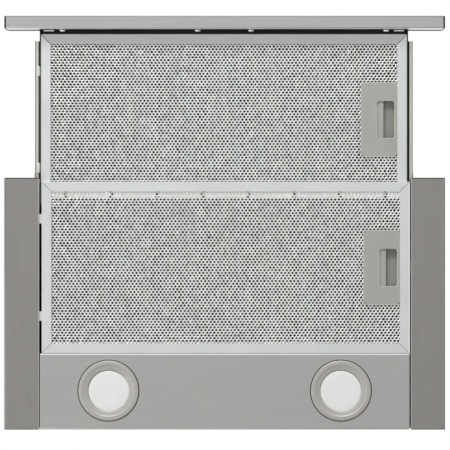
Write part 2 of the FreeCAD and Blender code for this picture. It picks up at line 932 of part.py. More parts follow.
def switch_block():
    """The switch housing behind the bar's face: a pocket for the keys' collars, and their wells."""
    xs = list(button_places().values())
    wall, level = switch_wall, bar_height / 2
    half_height = button_width / 2 + button_flange + 0.5 + wall
    left, right = xs[0] - button_pitch / 2 - wall, xs[-1] + button_pitch / 2 + wall
    rear = -bar_back - sheet - visor_head_height - 0.1
    block = box(left, right, -switch_front, rear, level - half_height, level + half_height)
    pocket_rear = -bar_front + sheet + 2 * button_gap + button_collar + button_travel
    pocket = box(
        left + wall, right - wall, -switch_front - 1, pocket_rear,
        level - half_height + wall, level + half_height - wall,
    )
    half = button_stem / 2 + 0.2
    wells = [
        box(x - half, x + half, -switch_front, rear + 1, level - half, level + half) for x in xs
    ]
    return block.cut(group([pocket, *wells]))


# Filters, drawn round the bottom middle of a filter


def filter_frame():
    """Four mitred channels and two lugs. The channels hold the mesh by its edge."""
    half_x, half_y = filter_width / 2, filter_depth / 2
    rim = filter_rim
    ring = box(-half_x, half_x, -half_y, half_y, 0, filter_height)
    window = box(-half_x + rim, half_x - rim, -half_y + rim, half_y - rim, -1, filter_height + 1)
    groove = box(
        -half_x + sheet, half_x - sheet, -half_y + sheet, half_y - sheet, sheet, filter_height - sheet
    )
    ring = ring.cut(window).cut(groove)
    outer = [(-half_x, -half_y), (half_x, -half_y), (half_x, half_y), (-half_x, half_y)]
    inner = [(x - math.copysign(rim, x), y - math.copysign(rim, y)) for x, y in outer]
    bars = []
    for number in range(4):
        after = (number + 1) % 4
        corners = [outer[number], outer[after], inner[after], inner[number]]
        wedge = prism([Vector(x, y, -1) for x, y in corners], UP * (filter_height + 2))
        bars.append(ring.common(wedge))
    bars[1] = bars[1].cut(bolt_hole(Vector(0, 0, 0)))
    lugs = [
        box(
            -half_x - lug_reach, -half_x + sheet,
            y - lug_width / 2, y + lug_width / 2,
            lug_level, lug_level + lug_sheet,
        )
        for y in (-lug_spacing / 2, lug_spacing / 2)
    ]
    bars[3] = joined([bars[3], *lugs])
    return group(bars)


def mesh_slits(level):
    """Cutters for the staggered slits of the stretched sheet, clear of the handle plate."""
    margin = filter_rim + mesh_strand / 2
    column_pitch = (filter_width - 2 * margin) / mesh_columns
    row_pitch = (filter_depth - 2 * margin) / mesh_rows
    long_way = (column_pitch - mesh_strand) / 2
    short_way = mesh_slit / 2
    slits = []
    for row in range(mesh_rows):
        y = (row - (mesh_rows - 1) / 2) * row_pitch
        staggered = row % 2
        for column in range(mesh_columns - staggered):
            x = (column - (mesh_columns - staggered - 1) / 2) * column_pitch
            beside_plate = abs(y) < plate_length / 2 + mesh_strand / 2
            if beside_plate and x + long_way > plate_left - mesh_strand / 2:
                continue
            corners = [(x - long_way, y), (x, y - short_way), (x + long_way, y), (x, y + short_way)]
            slits.append(prism([Vector(u, v, level - 1) for u, v in corners], UP * (mesh_sheet + 2)))
    return group(slits)


def filter_mesh():
    """The lower and upper mesh sheets, whose edges lie in the frame's groove."""
    half_x, half_y = filter_width / 2 - sheet - 0.2, filter_depth / 2 - sheet - 0.2
    upper_level = filter_height - sheet - mesh_sheet
    lower = box(-half_x, half_x, -half_y, half_y, sheet, sheet + mesh_sheet)
    upper = box(-half_x, half_x, -half_y, half_y, upper_level, upper_level + mesh_sheet)
    cut_out = box(
        plate_left - small_gap, half_x + 1,
        -plate_length / 2 - small_gap, plate_length / 2 + small_gap,
        0, sheet + mesh_sheet + 1,
    )
    return group([lower.cut(mesh_slits(sheet)).cut(cut_out), upper])


def filter_core():
    """The pleated inner layer that keeps the two mesh sheets apart."""
    half_x, half_y = filter_width / 2 - sheet - 0.5, filter_depth / 2 - sheet - 0.5
    low = sheet + mesh_sheet + 0.1
    high = filter_height - sheet - mesh_sheet - 0.1
    pitch = 2 * half_x / core_pleats
    ridge = [
        Vector(-half_x + pitch * number, -half_y, low if number % 2 else high - core_sheet)
        for number in range(core_pleats + 1)
    ]
    upper_face = [point + UP * core_sheet for point in reversed(ridge)]
    core = prism(ridge + upper_face, TO_WALL * 2 * half_y)
    pocket = box(
        plate_left - 1, half_x + 1, -plate_length / 2 - 1, plate_length / 2 + 1, 0, filter_height
    )
    return core.cut(pocket)


def handle_plate():
    """The plastic plate with its finger slot, and the closed pocket behind it for the latch."""
    half = plate_length / 2
    plate = rounded_plate(plate_left, plate_right, -half, half, 0, plate_sheet, plate_corner)
    left, right = plate_left + 2, plate_right - housing_inset
    wall = plate_sheet
    housing = box(left, right, -half + 4, half - 4, plate_sheet - 0.2, housing_top)
    hollow = box(
        left + wall, right - wall, -half + 4 + wall, half - 4 - wall, plate_sheet, housing_top - 1
    )
    finger = rounded_plate(
        finger_left, finger_right, -finger_length / 2, finger_length / 2, -1, plate_sheet + 1, finger_corner
    )
    gap = slot_gap
    arm_holes = [
        box(
            right - wall - 1, right + 1,
            side * (latch_arm_inner() - gap), side * (latch_arm_inner() + latch_arm_width + gap),
            latch_level - gap, latch_level + latch_thickness + gap,
        )
        for side in (-1, 1)
    ]
    return joined([plate, housing]).cut(group([hollow, finger, *arm_holes]))


def latch_arm_inner():
    return finger_length / 2 + 1.5


def latch_slider():
    """The grip seen in the finger slot, its two arms round the pocket, and the bolt at their end."""
    edge = filter_width / 2
    arm_outer = latch_arm_inner() + latch_arm_width
    top = latch_level + latch_thickness
    grip = box(
        finger_left - grip_under_plate, finger_left + grip_width,
        -arm_outer, arm_outer, plate_sheet + small_gap, top + 0.8,
    )
    arms = [
        box(
            finger_left + grip_width - 1, edge - 3,
            side * latch_arm_inner(), side * arm_outer, latch_level, top,
        )
        for side in (-1, 1)
    ]
    crossbar = box(edge - 5, edge - 1.5, -arm_outer, arm_outer, latch_level, top)
    half_bolt = bolt_width / 2
    nose = [
        Vector(edge - 2, -half_bolt, latch_level),
        Vector(edge + bolt_reach - 1.2, -half_bolt, latch_level),
        Vector(edge + bolt_reach, -half_bolt, latch_level + 1),
        Vector(edge + bolt_reach, -half_bolt, top),
        Vector(edge - 2, -half_bolt, top),
    ]
    bolt = prism(nose, TO_WALL * bolt_width)
    return joined([grip, *arms, crossbar, bolt])


# Blower


def scroll_outline(x, inset):
    """The volute's closed outline at one x: arcs whose radius grows by the same step at each
    quarter turn, drawn from the tongue round to the outlet. inset moves it inwards."""
    def at(across, up):
        return Vector(x, impeller_y + across, impeller_level + up)

    def turn(middle, radius, first, last):
        angles = [math.radians(a) for a in (first, (first + last) / 2, last)]
        points = [
            at(middle[0] + radius * math.cos(a), middle[1] + radius * math.sin(a)) for a in angles
        ]
        return Part.Arc(*points).toShape(), points[0], points[2]

    grow = scroll_growth
    first_arc, tongue, _ = turn((0, 0), scroll_start - inset, tongue_angle, 0)
    second_arc, _, _ = turn((-grow, 0), scroll_start + grow - inset, 0, -90)
    third_arc, _, last = turn((-grow, grow), scroll_start + 2 * grow - inset, -90, -180)
    top = casing_inside_top + max(inset, 0)
    outlet_reach = scroll_start + 3 * grow - impeller_from_duct - inset
    left_top = Vector(x, last.y, top)
    right_top = Vector(x, -duct_from_wall + outlet_reach, top)
    straight = Part.makePolygon([last, left_top, right_top, tongue])
    return Part.Wire([first_arc, second_arc, third_arc, *straight.Edges])


def scroll_slab(x, thickness, inset):
    return Part.Face(scroll_outline(x, inset)).extrude(RIGHT * thickness)


def blower_housing():
    """The left half of the volute, with a bell-mouthed inlet and a flange along the joint."""
    half = scroll_width / 2
    shell = scroll_slab(-half, half, 0)
    rim = scroll_slab(-scroll_wall, scroll_wall, -scroll_flange)
    inside = scroll_slab(-half + scroll_wall, half, scroll_wall)
    centre = Vector(-half, impeller_y, impeller_level)
    inlet = rod(inlet_radius + bell_wall / 2, scroll_wall + 2, centre - RIGHT, RIGHT)
    bell = turned(
        [
            (inlet_radius, 0),
            (inlet_radius, bell_depth),
            (inlet_radius + bell_wall, scroll_wall - 0.5),
            (inlet_radius + bell_wall, 0),
        ],
        centre, bell_sides, RIGHT, TO_WALL,
    )
    return joined([joined([shell, rim]).cut(inside).cut(inlet), bell])


def impeller_blade():
    """One forward-curved blade, drawn at the impeller's left end and along its whole width."""
    inner = impeller_radius - blade_depth
    sweep = math.radians(blade_sweep)
    thick = blade_sheet / impeller_radius
    stations = [
        (inner, 0),
        (inner + blade_depth * 0.6, sweep * 0.3),
        (impeller_radius - impeller_edge, sweep),
    ]

    def on_blade(radius, angle):
        y = impeller_y + radius * math.cos(angle)
        z = impeller_level + radius * math.sin(angle)
        return Vector(-impeller_width / 2 + impeller_ring / 2, y, z)

    front = [on_blade(radius, angle) for radius, angle in stations]
    back = [on_blade(radius, angle + thick) for radius, angle in reversed(stations)]
    return prism(front + back, RIGHT * (impeller_width - impeller_ring))


def impeller():
    """A double-inlet impeller: its blades pass through a middle disc and end in two rings."""
    half = impeller_width / 2
    centre = Vector(0, impeller_y, impeller_level)
    blade = impeller_blade()
    blades = []
    for number in range(blade_count):
        turned = blade.copy()
        turned.rotate(centre, RIGHT, 360 * number / blade_count)
        blades.append(turned)

    def round_slab(radius, x, width, sides=blade_count):
        return many_sided(radius, width, centre + RIGHT * x, RIGHT, sides)

    inner = impeller_radius - blade_depth
    rings = [
        round_slab(impeller_radius, x, impeller_ring).cut(round_slab(inner, x, impeller_ring))
        for x in (-half, half - impeller_ring)
    ]
    disc = round_slab(impeller_radius, -impeller_disc / 2, impeller_disc)
    hub = round_slab(hub_radius, -hub_length / 2, hub_length, 12)
    bore = rod(shaft_radius, hub_length, centre - RIGHT * (hub_length / 2), RIGHT)
    return joined([joined([hub, disc]).cut(bore), *blades, *rings])


def fan_shaft():
    """The motor's shaft, from inside its can to just past the impeller's hub."""
    start = Vector(motor_front_x - shaft_in_motor, impeller_y, impeller_level)
    end_x = hub_length / 2 + 0.5
    return rod(shaft_radius, end_x - start.x, start, RIGHT)


def motor():
    """The motor can, with a bearing boss at its front and a bore for the shaft."""
    length = motor_length
    outline = [
        (0, -length), (motor_radius - 3, -length), (motor_radius, -length + 3),
        (motor_radius, -3), (motor_boss_radius, -3), (motor_boss_radius, 0), (0, 0),
    ]
    centre = Vector(motor_front_x, impeller_y, impeller_level)
    can = turned(outline, centre, motor_sides, RIGHT, TO_WALL)
    room = shaft_in_motor + 2
    return can.cut(rod(shaft_radius + shaft_clearance, room, centre - RIGHT * room, RIGHT))


def bush_places():
    """Where the motor's three arms are carried on the side of the volute."""
    places = []
    for number in range(3):
        angle = math.radians(90 + 120 * number)
        y = impeller_y + bush_circle * math.cos(angle)
        z = impeller_level + bush_circle * math.sin(angle)
        places.append(Vector(-scroll_width / 2, y, z))
    return places


def motor_bracket():
    """A three-armed plate that grips the motor's can and stands on the bushes."""
    centre = Vector(bush_end_x - motor_arm_sheet, impeller_y, impeller_level)
    shapes = [many_sided(motor_radius + motor_grip_wall, motor_grip_length, centre, RIGHT, 12)]
    half = motor_arm_width / 2
    for number in range(3):
        arm = box(
            centre.x, bush_end_x, impeller_y - half, impeller_y + half,
            impeller_level, impeller_level + bush_circle + bush_radius + 1,
        )
        arm.rotate(centre, RIGHT, 120 * number)
        shapes.append(arm)
    bore = rod(motor_radius, motor_grip_length + 2, centre - RIGHT, RIGHT)
    return joined(shapes).cut(bore)


def motor_bushes():
    """The rubber bushes between the volute's side and the motor's bracket."""
    return group(
        many_sided(bush_radius, bush_length, at - RIGHT * bush_length, RIGHT) for at in bush_places()
    )


# Duct collar


def duct_collar():
    """The spigot that the duct pipe slips over, with four stops below the flaps and their pin."""
    inside = duct_radius - collar_wall
    outline = [
        (inside, -collar_flange),
        (collar_flange_radius, -collar_flange),
        (collar_flange_radius, 0),
        (duct_radius, 0),
        (duct_radius, collar_length),
        (inside, collar_length),
    ]
    middle = Vector(0, -duct_from_wall, outlet_level)
    collar = revolved(outline, middle)
    stops = []
    for number in range(4):
        stop = box(
            inside - stop_reach, inside + collar_wall / 2, -stop_width / 2, stop_width / 2,
            stop_level - stop_height, stop_level,
        )
        stop.rotate(Vector(0, 0, 0), UP, 45 + 90 * number)
        stops.append(placed(stop, TO_WALL * -duct_from_wall))
    half_pin = inside - 0.1
    pin = rod(flap_pin_radius, 2 * half_pin, Vector(-half_pin, -duct_from_wall, flap_axis_level), RIGHT)
    return group([joined([collar, *stops]), pin])


def duct_flap(side):
    """Half of the non-return flap. The room side's half (side -1) has a barrel at each end of the
    pin, and the other half has one long barrel between them."""
    axis_level = flap_axis_level
    reach = duct_radius - collar_wall - flap_gap
    middle = Vector(0, -duct_from_wall, flap_plate_level)
    plate = rod(reach, flap_sheet, middle)
    near, far = -duct_from_wall + side * 0.3, -duct_from_wall + side * (reach + 1)
    plate = plate.common(box(-reach, reach, near, far, middle.z, middle.z + flap_sheet))
    barrels = [(-flap_barrel_reach, 1), (flap_barrel_reach, 1)] if side < 0 else [(0, 2)]
    shapes = [plate]
    bores = []
    for x, share in barrels:
        half = flap_barrel_length * share / 2
        start = Vector(x - half, -duct_from_wall, axis_level)
        shapes.append(rod(flap_barrel_radius, 2 * half, start, RIGHT))
        web_far = -duct_from_wall + side * flap_barrel_radius
        shapes.append(box(x - half, x + half, near, web_far, middle.z + flap_sheet / 2, axis_level))
        room = flap_pin_radius + flap_pin_clearance
        bores.append(rod(room, 2 * half + 2, start - RIGHT, RIGHT))
    return joined(shapes).cut(group(bores))


# Electrical pieces


def cable_gland():
    """The gland in the casing's top that the supply lead goes through, with its nut inside."""
    at = gland_place()
    under = at - UP * sheet
    shapes = [
        rod(gland_thread, sheet + 1, under - UP * 0.5),
        many_sided(gland_flats, gland_head, at, UP, 6),
        many_sided(gland_flats, gland_nut, under - UP * gland_nut, UP, 6),
    ]
    bore_length = gland_head + sheet + gland_nut + 2
    return joined(shapes).cut(rod(gland_bore, bore_length, under - UP * (gland_nut + 1)))


def terminal_box():
    """The box for the supply's terminals, on the casing's rear wall, with a lid and a spout."""
    x, z = core_x(slide_outer - terminal_box_from_side), terminal_box_level
    width, depth, height = terminal_box_size
    rear = -2 * sheet
    front = rear - depth
    body = box(x - width / 2, x + width / 2, rear, front, z - height / 2, z + height / 2)
    lid_half, lid_rise = width / 2 + terminal_lid_edge, height / 2 + terminal_lid_edge
    lid = box(
        x - lid_half, x + lid_half, front, front - terminal_lid_sheet, z - lid_rise, z + lid_rise
    )
    spout_foot = Vector(x - width / 3, (rear + front) / 2, z + height / 2 - 1)
    spout = many_sided(terminal_spout_radius, terminal_spout_length, spout_foot)
    return joined([body, lid, spout])


def motor_capacitor():
    """The motor's capacitor, hung from the casing's top by its strap."""
    radius, length = capacitor_radius, capacitor_length
    start = Vector(
        core_x(-capacitor_from_middle), -capacitor_from_wall, casing_inside_top - radius - 2
    )
    can = many_sided(radius, length, start, RIGHT, 16)
    strap = box(
        start.x + length / 3, start.x + length * 2 / 3, start.y - 10, start.y + 10,
        start.z + 6, casing_inside_top,
    )
    terminals = [
        box(start.x - 7, start.x + 1, start.y + y - 3, start.y + y + 3, start.z - 0.4, start.z + 0.4)
        for y in (-6, 6)
    ]
    return joined([can, strap, *terminals])


def lamp_driver():
    """The lamps' supply unit, on the casing's rear wall, with a foot at each end."""
    x, z = core_x(driver_from_side - slide_outer), driver_level
    width, depth, height = driver_size
    rear = -2 * sheet
    body = box(x - width / 2, x + width / 2, rear, rear - depth, z - height / 2, z + height / 2)
    foot_half = width / 2 + driver_foot
    feet = box(
        x - foot_half, x + foot_half, rear, rear - driver_foot_sheet, z - height / 4, z + height / 4
    )
    return joined([body, feet])


def build():
    """Writes every node of the hood."""
    os.makedirs("parts", exist_ok=True)

    def save(name, shape):
        moved = placed(shape, Vector(0, duct_from_wall, -outlet_level))
        moved.exportStep(f"parts/{name}.step")

    save("casing_shell", casing_shell())
    save("casing_top", casing_top())
    save("trim_rivets", trim_rivets())
    save("rear_screws", rear_screws())
    save("closing_buffers", closing_buffers())
    save("lamp_panel", lamp_panel())
    save("lamp_clips", lamp_clips())
    for name, base in lamp_places().items():
        save(f"lamp_bezel_{name}", lamp_bezel(base))
        save(f"lamp_diffuser_{name}", lamp_diffuser(base))
        save(f"led_module_{name}", led_module(base))
    for name, side, trim_inner in (("left", -1, trim_inner_left), ("right", 1, trim_inner_right)):
        save(f"side_trim_{name}", side_trim(side, trim_inner))
        save(f"mounting_bracket_{name}", mounting_bracket(side))
        save(f"slide_moving_{name}", slide_moving(side))
        save(f"slide_fixed_{name}", slide_fixed(side))
        save(f"ball_cage_{name}", ball_cage(side))
    save("visor_tray", visor_tray())
    save("visor_cover", visor_cover())
    save("visor_screws", visor_screws())
    save("visor_clips", visor_clips())
    save("front_bar", front_bar())
    save("end_caps", end_caps())
    save("switch_block", switch_block())
    for name, x in button_places().items():
        save(name, push_button(x))
    for name, place in filter_places().items():
        save(f"{name}_filter_frame", placed(filter_frame(), place))
        save(f"{name}_filter_mesh", placed(filter_mesh(), place))
        save(f"{name}_filter_core", placed(filter_core(), place))
        save(f"{name}_filter_handle", placed(handle_plate(), place))
        save(f"{name}_filter_latch", placed(latch_slider(), place))
    housing = blower_housing()
    save("blower_housing_left", housing)
    save("blower_housing_right", mirrored(housing))
    save("impeller", impeller())
    save("fan_shaft", fan_shaft())
    save("motor", motor())
    save("motor_bracket", motor_bracket())
    save("motor_bushes", motor_bushes())
    save("duct_collar", duct_collar())
    save("duct_flap_front", duct_flap(-1))
    save("duct_flap_rear", duct_flap(1))
    save("cable_gland", cable_gland())
    save("terminal_box", terminal_box())
    save("motor_capacitor", motor_capacitor())
    save("lamp_driver", lamp_driver())


build()
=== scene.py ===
import json
import math

import bpy
import numpy as np
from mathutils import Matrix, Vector

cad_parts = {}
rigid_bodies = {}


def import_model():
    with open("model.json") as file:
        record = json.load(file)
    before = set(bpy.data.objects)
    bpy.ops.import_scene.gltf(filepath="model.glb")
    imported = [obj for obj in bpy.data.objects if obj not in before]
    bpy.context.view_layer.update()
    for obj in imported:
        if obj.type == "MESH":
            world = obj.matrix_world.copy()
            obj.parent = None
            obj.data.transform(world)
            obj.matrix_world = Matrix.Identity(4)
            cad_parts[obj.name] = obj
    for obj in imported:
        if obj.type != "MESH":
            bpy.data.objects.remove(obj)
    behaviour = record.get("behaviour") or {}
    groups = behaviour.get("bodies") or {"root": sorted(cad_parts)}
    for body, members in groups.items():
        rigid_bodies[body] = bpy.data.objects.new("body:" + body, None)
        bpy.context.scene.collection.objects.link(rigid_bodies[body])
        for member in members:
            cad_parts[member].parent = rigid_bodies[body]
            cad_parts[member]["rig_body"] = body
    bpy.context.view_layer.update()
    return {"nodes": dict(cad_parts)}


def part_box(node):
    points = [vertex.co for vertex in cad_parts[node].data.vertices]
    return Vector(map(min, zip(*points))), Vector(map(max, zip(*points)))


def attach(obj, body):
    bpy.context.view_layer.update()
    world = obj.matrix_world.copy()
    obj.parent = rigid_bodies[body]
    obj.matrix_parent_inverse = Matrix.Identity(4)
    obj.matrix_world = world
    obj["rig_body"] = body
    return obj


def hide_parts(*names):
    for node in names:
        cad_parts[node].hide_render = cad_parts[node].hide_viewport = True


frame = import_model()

# A telescopic range hood insert, seen from below with its visor pulled out. Everything is in
# metres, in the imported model's frame: X to the right, Y to the wall, Z up, with the origin in the
# duct outlet. The underside, which the photograph shows, faces down.

nodes = frame["nodes"]
MM = 0.001

# The photograph: its width, its scale at the underside, and the pixels that the hood's middle and
# its wall plane lie on
PHOTO_PIXELS = 450
PIXEL_SIZE = 1.1295 * MM
MIDDLE_PIXEL = 224.7
WALL_PIXEL = 429.6
CAMERA_DISTANCE = 2.2
SENSOR_WIDTH = 36.0
FAR_LIMIT = 50.0

# The room round the hood
BACKGROUND_LIGHT = 1.0
EVEN_LIGHT = 0.48
FLOOR_HALF_WIDTH = 7.0
FLOOR_LEVEL = -2.7

# The filter meshes: the places of their holes, and the form of a hole
SHEET = 0.8 * MM
MESH_INSET = 2 * MM
HOLE_PITCH = 4.2 * MM
HOLE_ROW_PITCH = 3.075 * MM
HOLE_SIZE = 2.9 * MM
HOLE_CORNERS = 8
HOLE_RISE = 0.25 * MM
HOLE_DEPTH = 0.9 * SHEET
HOLE_TAPER = 0.92
HOLE_TILT = 0.2 * MM
SIZE_SPREAD = 0.06
PLACE_SPREAD = 0.02

# The inner sheet lies above the outer one, and its holes lie a little farther apart
INNER_PITCH_SHARE = 1.09
INNER_ROW_SHARE = 1.045
INNER_RISE = 2.0 * MM
INNER_GAP = 1 * MM

# The filters' frames, and their handles with a finger slot and a pocket, whose places are measured
# from the handle's left edge
FILTER_RIM = 11 * MM
FILTER_EDGE = 1.05 * MM
PLATE_CORNER = 3.8 * MM
PLATE_RIM = 0.8 * MM
FINGER_LEFT = 17.3 * MM
POCKET_LEFT = 25.2 * MM
POCKET_RIGHT = 37.4 * MM
POCKET_HALF = 20.9 * MM
POCKET_EDGE = 0.6 * MM
POCKET_FLOOR = 1.3 * MM
HEM_OVERLAP = 1 * MM
HEM_WIDTH = 9 * MM
HEM_LOW = 1.3 * MM
HEM_HIGH = 1.5 * MM

# How far each lamp's cover is drawn from its CAD place, to the right and to the wall
COVER_SHIFT = {"left": (0.6 * MM, 0.8 * MM), "right": (0.0, 0.8 * MM)}

# Folds and edges, and how far the strips that draw them stand out. Most strips are a painted
# highlight or painted shade.
LINE = 0.05 * MM
SKIN = 0.15 * MM
FOLD = 0.8 * MM
BAR_FOLD = 1.3 * FOLD
BAR_LOWER_LIP = 16 * MM
BAR_UPPER_LIP = 5 * MM
FRAME_BRIGHT_EDGE = 1.1 * MM
PANEL_FOLD = 1.4 * MM
TRIM_REAR_EDGE = 0.7 * MM
END_GAP = 1 * MM

# The joint across a frame's corners shows wider on the visor filter
SEAM_WIDTH = {"visor": 0.6 * MM, "fixed": 0.35 * MM}

# How sharp edges are rounded: points this near are one, and edges between faces that meet at more
# than the sharp angle are rounded
WELD_DISTANCE = 1e-6
FLAT_ANGLE = math.radians(0.5)
SHARP_ANGLE = math.radians(35)
EDGE_ROUND = 0.25 * MM

# Most of a noise texture's values lie between these
NOISE_LOW = 0.3
NOISE_HIGH = 0.7


# Small helpers


def in_metres(points):
    """A section's points, which are given in millimetres."""
    return [(one * MM, two * MM) for one, two in points]


def node_box(name):
    """A CAD node's left, right, front, back, low and high."""
    low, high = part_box(name)
    return low.x, high.x, low.y, high.y, low.z, high.z


def body_of(name):
    return nodes[name]["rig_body"]


def make_piece(name, vertices, faces, material, body, smooth=False):
    """A mesh piece that rides on a body."""
    mesh = bpy.data.meshes.new(name)
    mesh.from_pydata([tuple(v) for v in vertices], [], [tuple(f) for f in faces])
    mesh.materials.append(material)
    mesh.polygons.foreach_set("use_smooth", [smooth] * len(mesh.polygons))
    mesh.update()
    piece = bpy.data.objects.new(name, mesh)
    bpy.context.scene.collection.objects.link(piece)
    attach(piece, body)
    return piece


def weld(piece):
    """Joins the points of a piece that lie in one place."""
    modifier = piece.modifiers.new("weld", "WELD")
    modifier.merge_threshold = WELD_DISTANCE


def turned(name, profile, centre, material, body, axis="z", segments=96):
    """A piece turned about an axis through centre. profile is (radius, distance along) pairs, and
    the faces point to the right of its direction."""
    vertices, faces = [], []
    for radius, along in profile:
        for number in range(segments):
            angle = math.tau * number / segments
            across, other = radius * math.cos(angle), radius * math.sin(angle)
            offset = (across, other, along) if axis == "z" else (across, along, -other)
            vertices.append(Vector(centre) + Vector(offset))
    for ring in range(len(profile) - 1):
        for number in range(segments):
            after = (number + 1) % segments
            low, high = ring * segments, (ring + 1) * segments
            faces.append((low + number, low + after, high + after, high + number))
    piece = make_piece(name, vertices, faces, material, body, smooth=True)
    weld(piece)
    return piece


def drawn_out(name, outline, front, back, material, body):
    """A piece with one section all along Y. outline is (x, z) pairs round the section."""
    count = len(outline)
    vertices = [(x, y, z) for y in (front, back) for x, z in outline]
    faces = [(i, (i + 1) % count, count + (i + 1) % count, count + i) for i in range(count)]
    faces += [tuple(range(count)), tuple(range(2 * count - 1, count - 1, -1))]
    return make_piece(name, vertices, faces, material, body)


def strips(name, boxes, material, body):
    """Flat strips in one piece, which draw an edge's light or dark line, most of them as a painted
    highlight or painted shade. Each box is left, right, front, back, low and high."""
    vertices, faces = [], []
    for left, right, front, back, low, high in boxes:
        first = len(vertices)
        vertices += [(x, y, z) for z in (low, high) for y in (front, back) for x in (left, right)]
        sides = [(0, 2, 3, 1), (4, 5, 7, 6), (0, 1, 5, 4), (2, 6, 7, 3), (0, 4, 6, 2), (1, 3, 7, 5)]
        faces += [tuple(first + corner for corner in side) for side in sides]
    piece = make_piece(name, vertices, faces, material, body)


def soften(name):
    """Rounds a CAD node's sharp edges, so that they catch the light as folded or moulded ones."""
    node = nodes[name]
    weld(node)
    flat = node.modifiers.new("flat", "DECIMATE")
    flat.decimate_type = "DISSOLVE"
    flat.angle_limit = FLAT_ANGLE
    bevel = node.modifiers.new("bevel", "BEVEL")
    bevel.width = EDGE_ROUND
    bevel.segments = 2
    bevel.limit_method = "ANGLE"
    bevel.angle_limit = SHARP_ANGLE
    bevel.harden_normals = True
    bevel.use_clamp_overlap = True


def paint(name, material):
    """Gives a CAD node one material."""
    for place in nodes[name].material_slots:
        place.material = material


# Materials


def shader_tree(name):
    """A new material, with its tree and its main shader."""
    material = bpy.data.materials.new(name)
    material.use_nodes = True
    tree = material.node_tree
    return material, tree, tree.nodes["Principled BSDF"]


def stretched_noise(tree, scales, detail, seed=0.0):
    """Noise in the object's own coordinates, with its own scale, per metre, along each axis."""
    place = tree.nodes.new("ShaderNodeTexCoord")
    mapping = tree.nodes.new("ShaderNodeMapping")
    mapping.inputs["Scale"].default_value = scales
    mapping.inputs["Location"].default_value = (seed, seed * 1.7, seed * 2.3)
    noise = tree.nodes.new("ShaderNodeTexNoise")
    noise.inputs["Scale"].default_value = 1.0
    noise.inputs["Detail"].default_value = detail
    tree.links.new(place.outputs["Object"], mapping.inputs["Vector"])
    tree.links.new(mapping.outputs["Vector"], noise.inputs["Vector"])
    return noise.outputs["Fac"]


def ranged(tree, value, low, high):
    """A noise texture's value, mapped to low..high."""
    node = tree.nodes.new("ShaderNodeMapRange")
    node.inputs["From Min"].default_value = NOISE_LOW
    node.inputs["From Max"].default_value = NOISE_HIGH
    node.inputs["To Min"].default_value = low
    node.inputs["To Max"].default_value = high
    tree.links.new(value, node.inputs["Value"])
    return node.outputs["Result"]


def mixed(tree, factor, one, two):
    """A colour between two, by a factor."""
    node = tree.nodes.new("ShaderNodeMix")
    node.data_type = "RGBA"
    tree.links.new(factor, node.inputs["Factor"])
    for socket, colour in ((node.inputs["A"], one), (node.inputs["B"], two)):
        if isinstance(colour, tuple):
            socket.default_value = (*colour, 1)
        else:
            tree.links.new(colour, socket)
    return node.outputs["Result"]


def bumped(tree, shader, height, strength, distance):
    """Gives a shader a relief from a noise texture."""
    node = tree.nodes.new("ShaderNodeBump")
    node.inputs["Strength"].default_value = strength
    node.inputs["Distance"].default_value = distance
    tree.links.new(height, node.inputs["Height"])
    tree.links.new(node.outputs["Normal"], shader.inputs["Normal"])


def shaded(colour, share):
    """A colour made darker or lighter by a share."""
    return tuple(channel * share for channel in colour)


def brushed_metal(name, colour, along, seed):
    """Brushed steel whose grain runs along "x" or "y"."""
    material, tree, shader = shader_tree(name)
    roughness, contrast = 0.34, 0.05
    long_way, short_way, band_width = 12.0, 1400.0, 3.5
    fine = (long_way, short_way, short_way) if along == "x" else (short_way, long_way, short_way)
    wide = tuple(scale / band_width for scale in fine)
    streaks = stretched_noise(tree, fine, detail=2.0, seed=seed)
    bands = stretched_noise(tree, wide, detail=3.0, seed=seed + 4)
    clouds = stretched_noise(tree, (9, 9, 9), detail=3.0, seed=seed + 8)
    streaked = mixed(
        tree, ranged(tree, streaks, 0, 1), shaded(colour, 1 - contrast), shaded(colour, 1 + contrast)
    )
    banded = mixed(tree, ranged(tree, bands, 0, 0.5), streaked, shaded(colour, 1 - 1.4 * contrast))
    clouded = mixed(tree, ranged(tree, clouds, 0, 0.45), banded, shaded(colour, 1 + 0.6 * contrast))
    tree.links.new(clouded, shader.inputs["Base Color"])
    rough = ranged(tree, streaks, roughness - 0.05, roughness + 0.07)
    tree.links.new(rough, shader.inputs["Roughness"])
    shader.inputs["Metallic"].default_value = 1.0
    bumped(tree, shader, streaks, strength=0.12, distance=0.00004)
    return material


def satin_metal(name, colour, roughness, contrast=0.04, metallic=1.0, grain=500.0):
    """Rolled or plated metal with a fine even grain and soft clouds."""
    material, tree, shader = shader_tree(name)
    specks = stretched_noise(tree, (grain, grain, grain), detail=2.0)
    clouds = stretched_noise(tree, (22, 22, 22), detail=3.0, seed=3.0)
    speckled = mixed(
        tree, ranged(tree, specks, 0, 1), shaded(colour, 1 - contrast), shaded(colour, 1 + contrast)
    )
    clouded = mixed(tree, ranged(tree, clouds, 0, 0.5), speckled, shaded(colour, 1 - 2 * contrast))
    tree.links.new(clouded, shader.inputs["Base Color"])
    tree.links.new(ranged(tree, clouds, roughness - 0.05, roughness + 0.06), shader.inputs["Roughness"])
    shader.inputs["Metallic"].default_value = metallic
    bumped(tree, shader, specks, strength=0.08, distance=0.00005)
    return material


def moulded(name, colour, roughness, grain, relief=0.15, contrast=0.03, seed=0.0):
    """Moulded plastic, rubber or paint with a fine even texture."""
    material, tree, shader = shader_tree(name)
    pebbles = stretched_noise(tree, (grain, grain, grain), detail=3.0, seed=seed)
    clouds = stretched_noise(tree, (35, 35, 35), detail=2.0, seed=seed + 5)
    tone = mixed(
        tree, ranged(tree, clouds, 0, 1), shaded(colour, 1 - contrast), shaded(colour, 1 + contrast)
    )
    tree.links.new(tone, shader.inputs["Base Color"])
    tree.links.new(ranged(tree, pebbles, roughness - 0.06, roughness + 0.08), shader.inputs["Roughness"])
    bumped(tree, shader, pebbles, strength=relief, distance=0.00008)
    return material


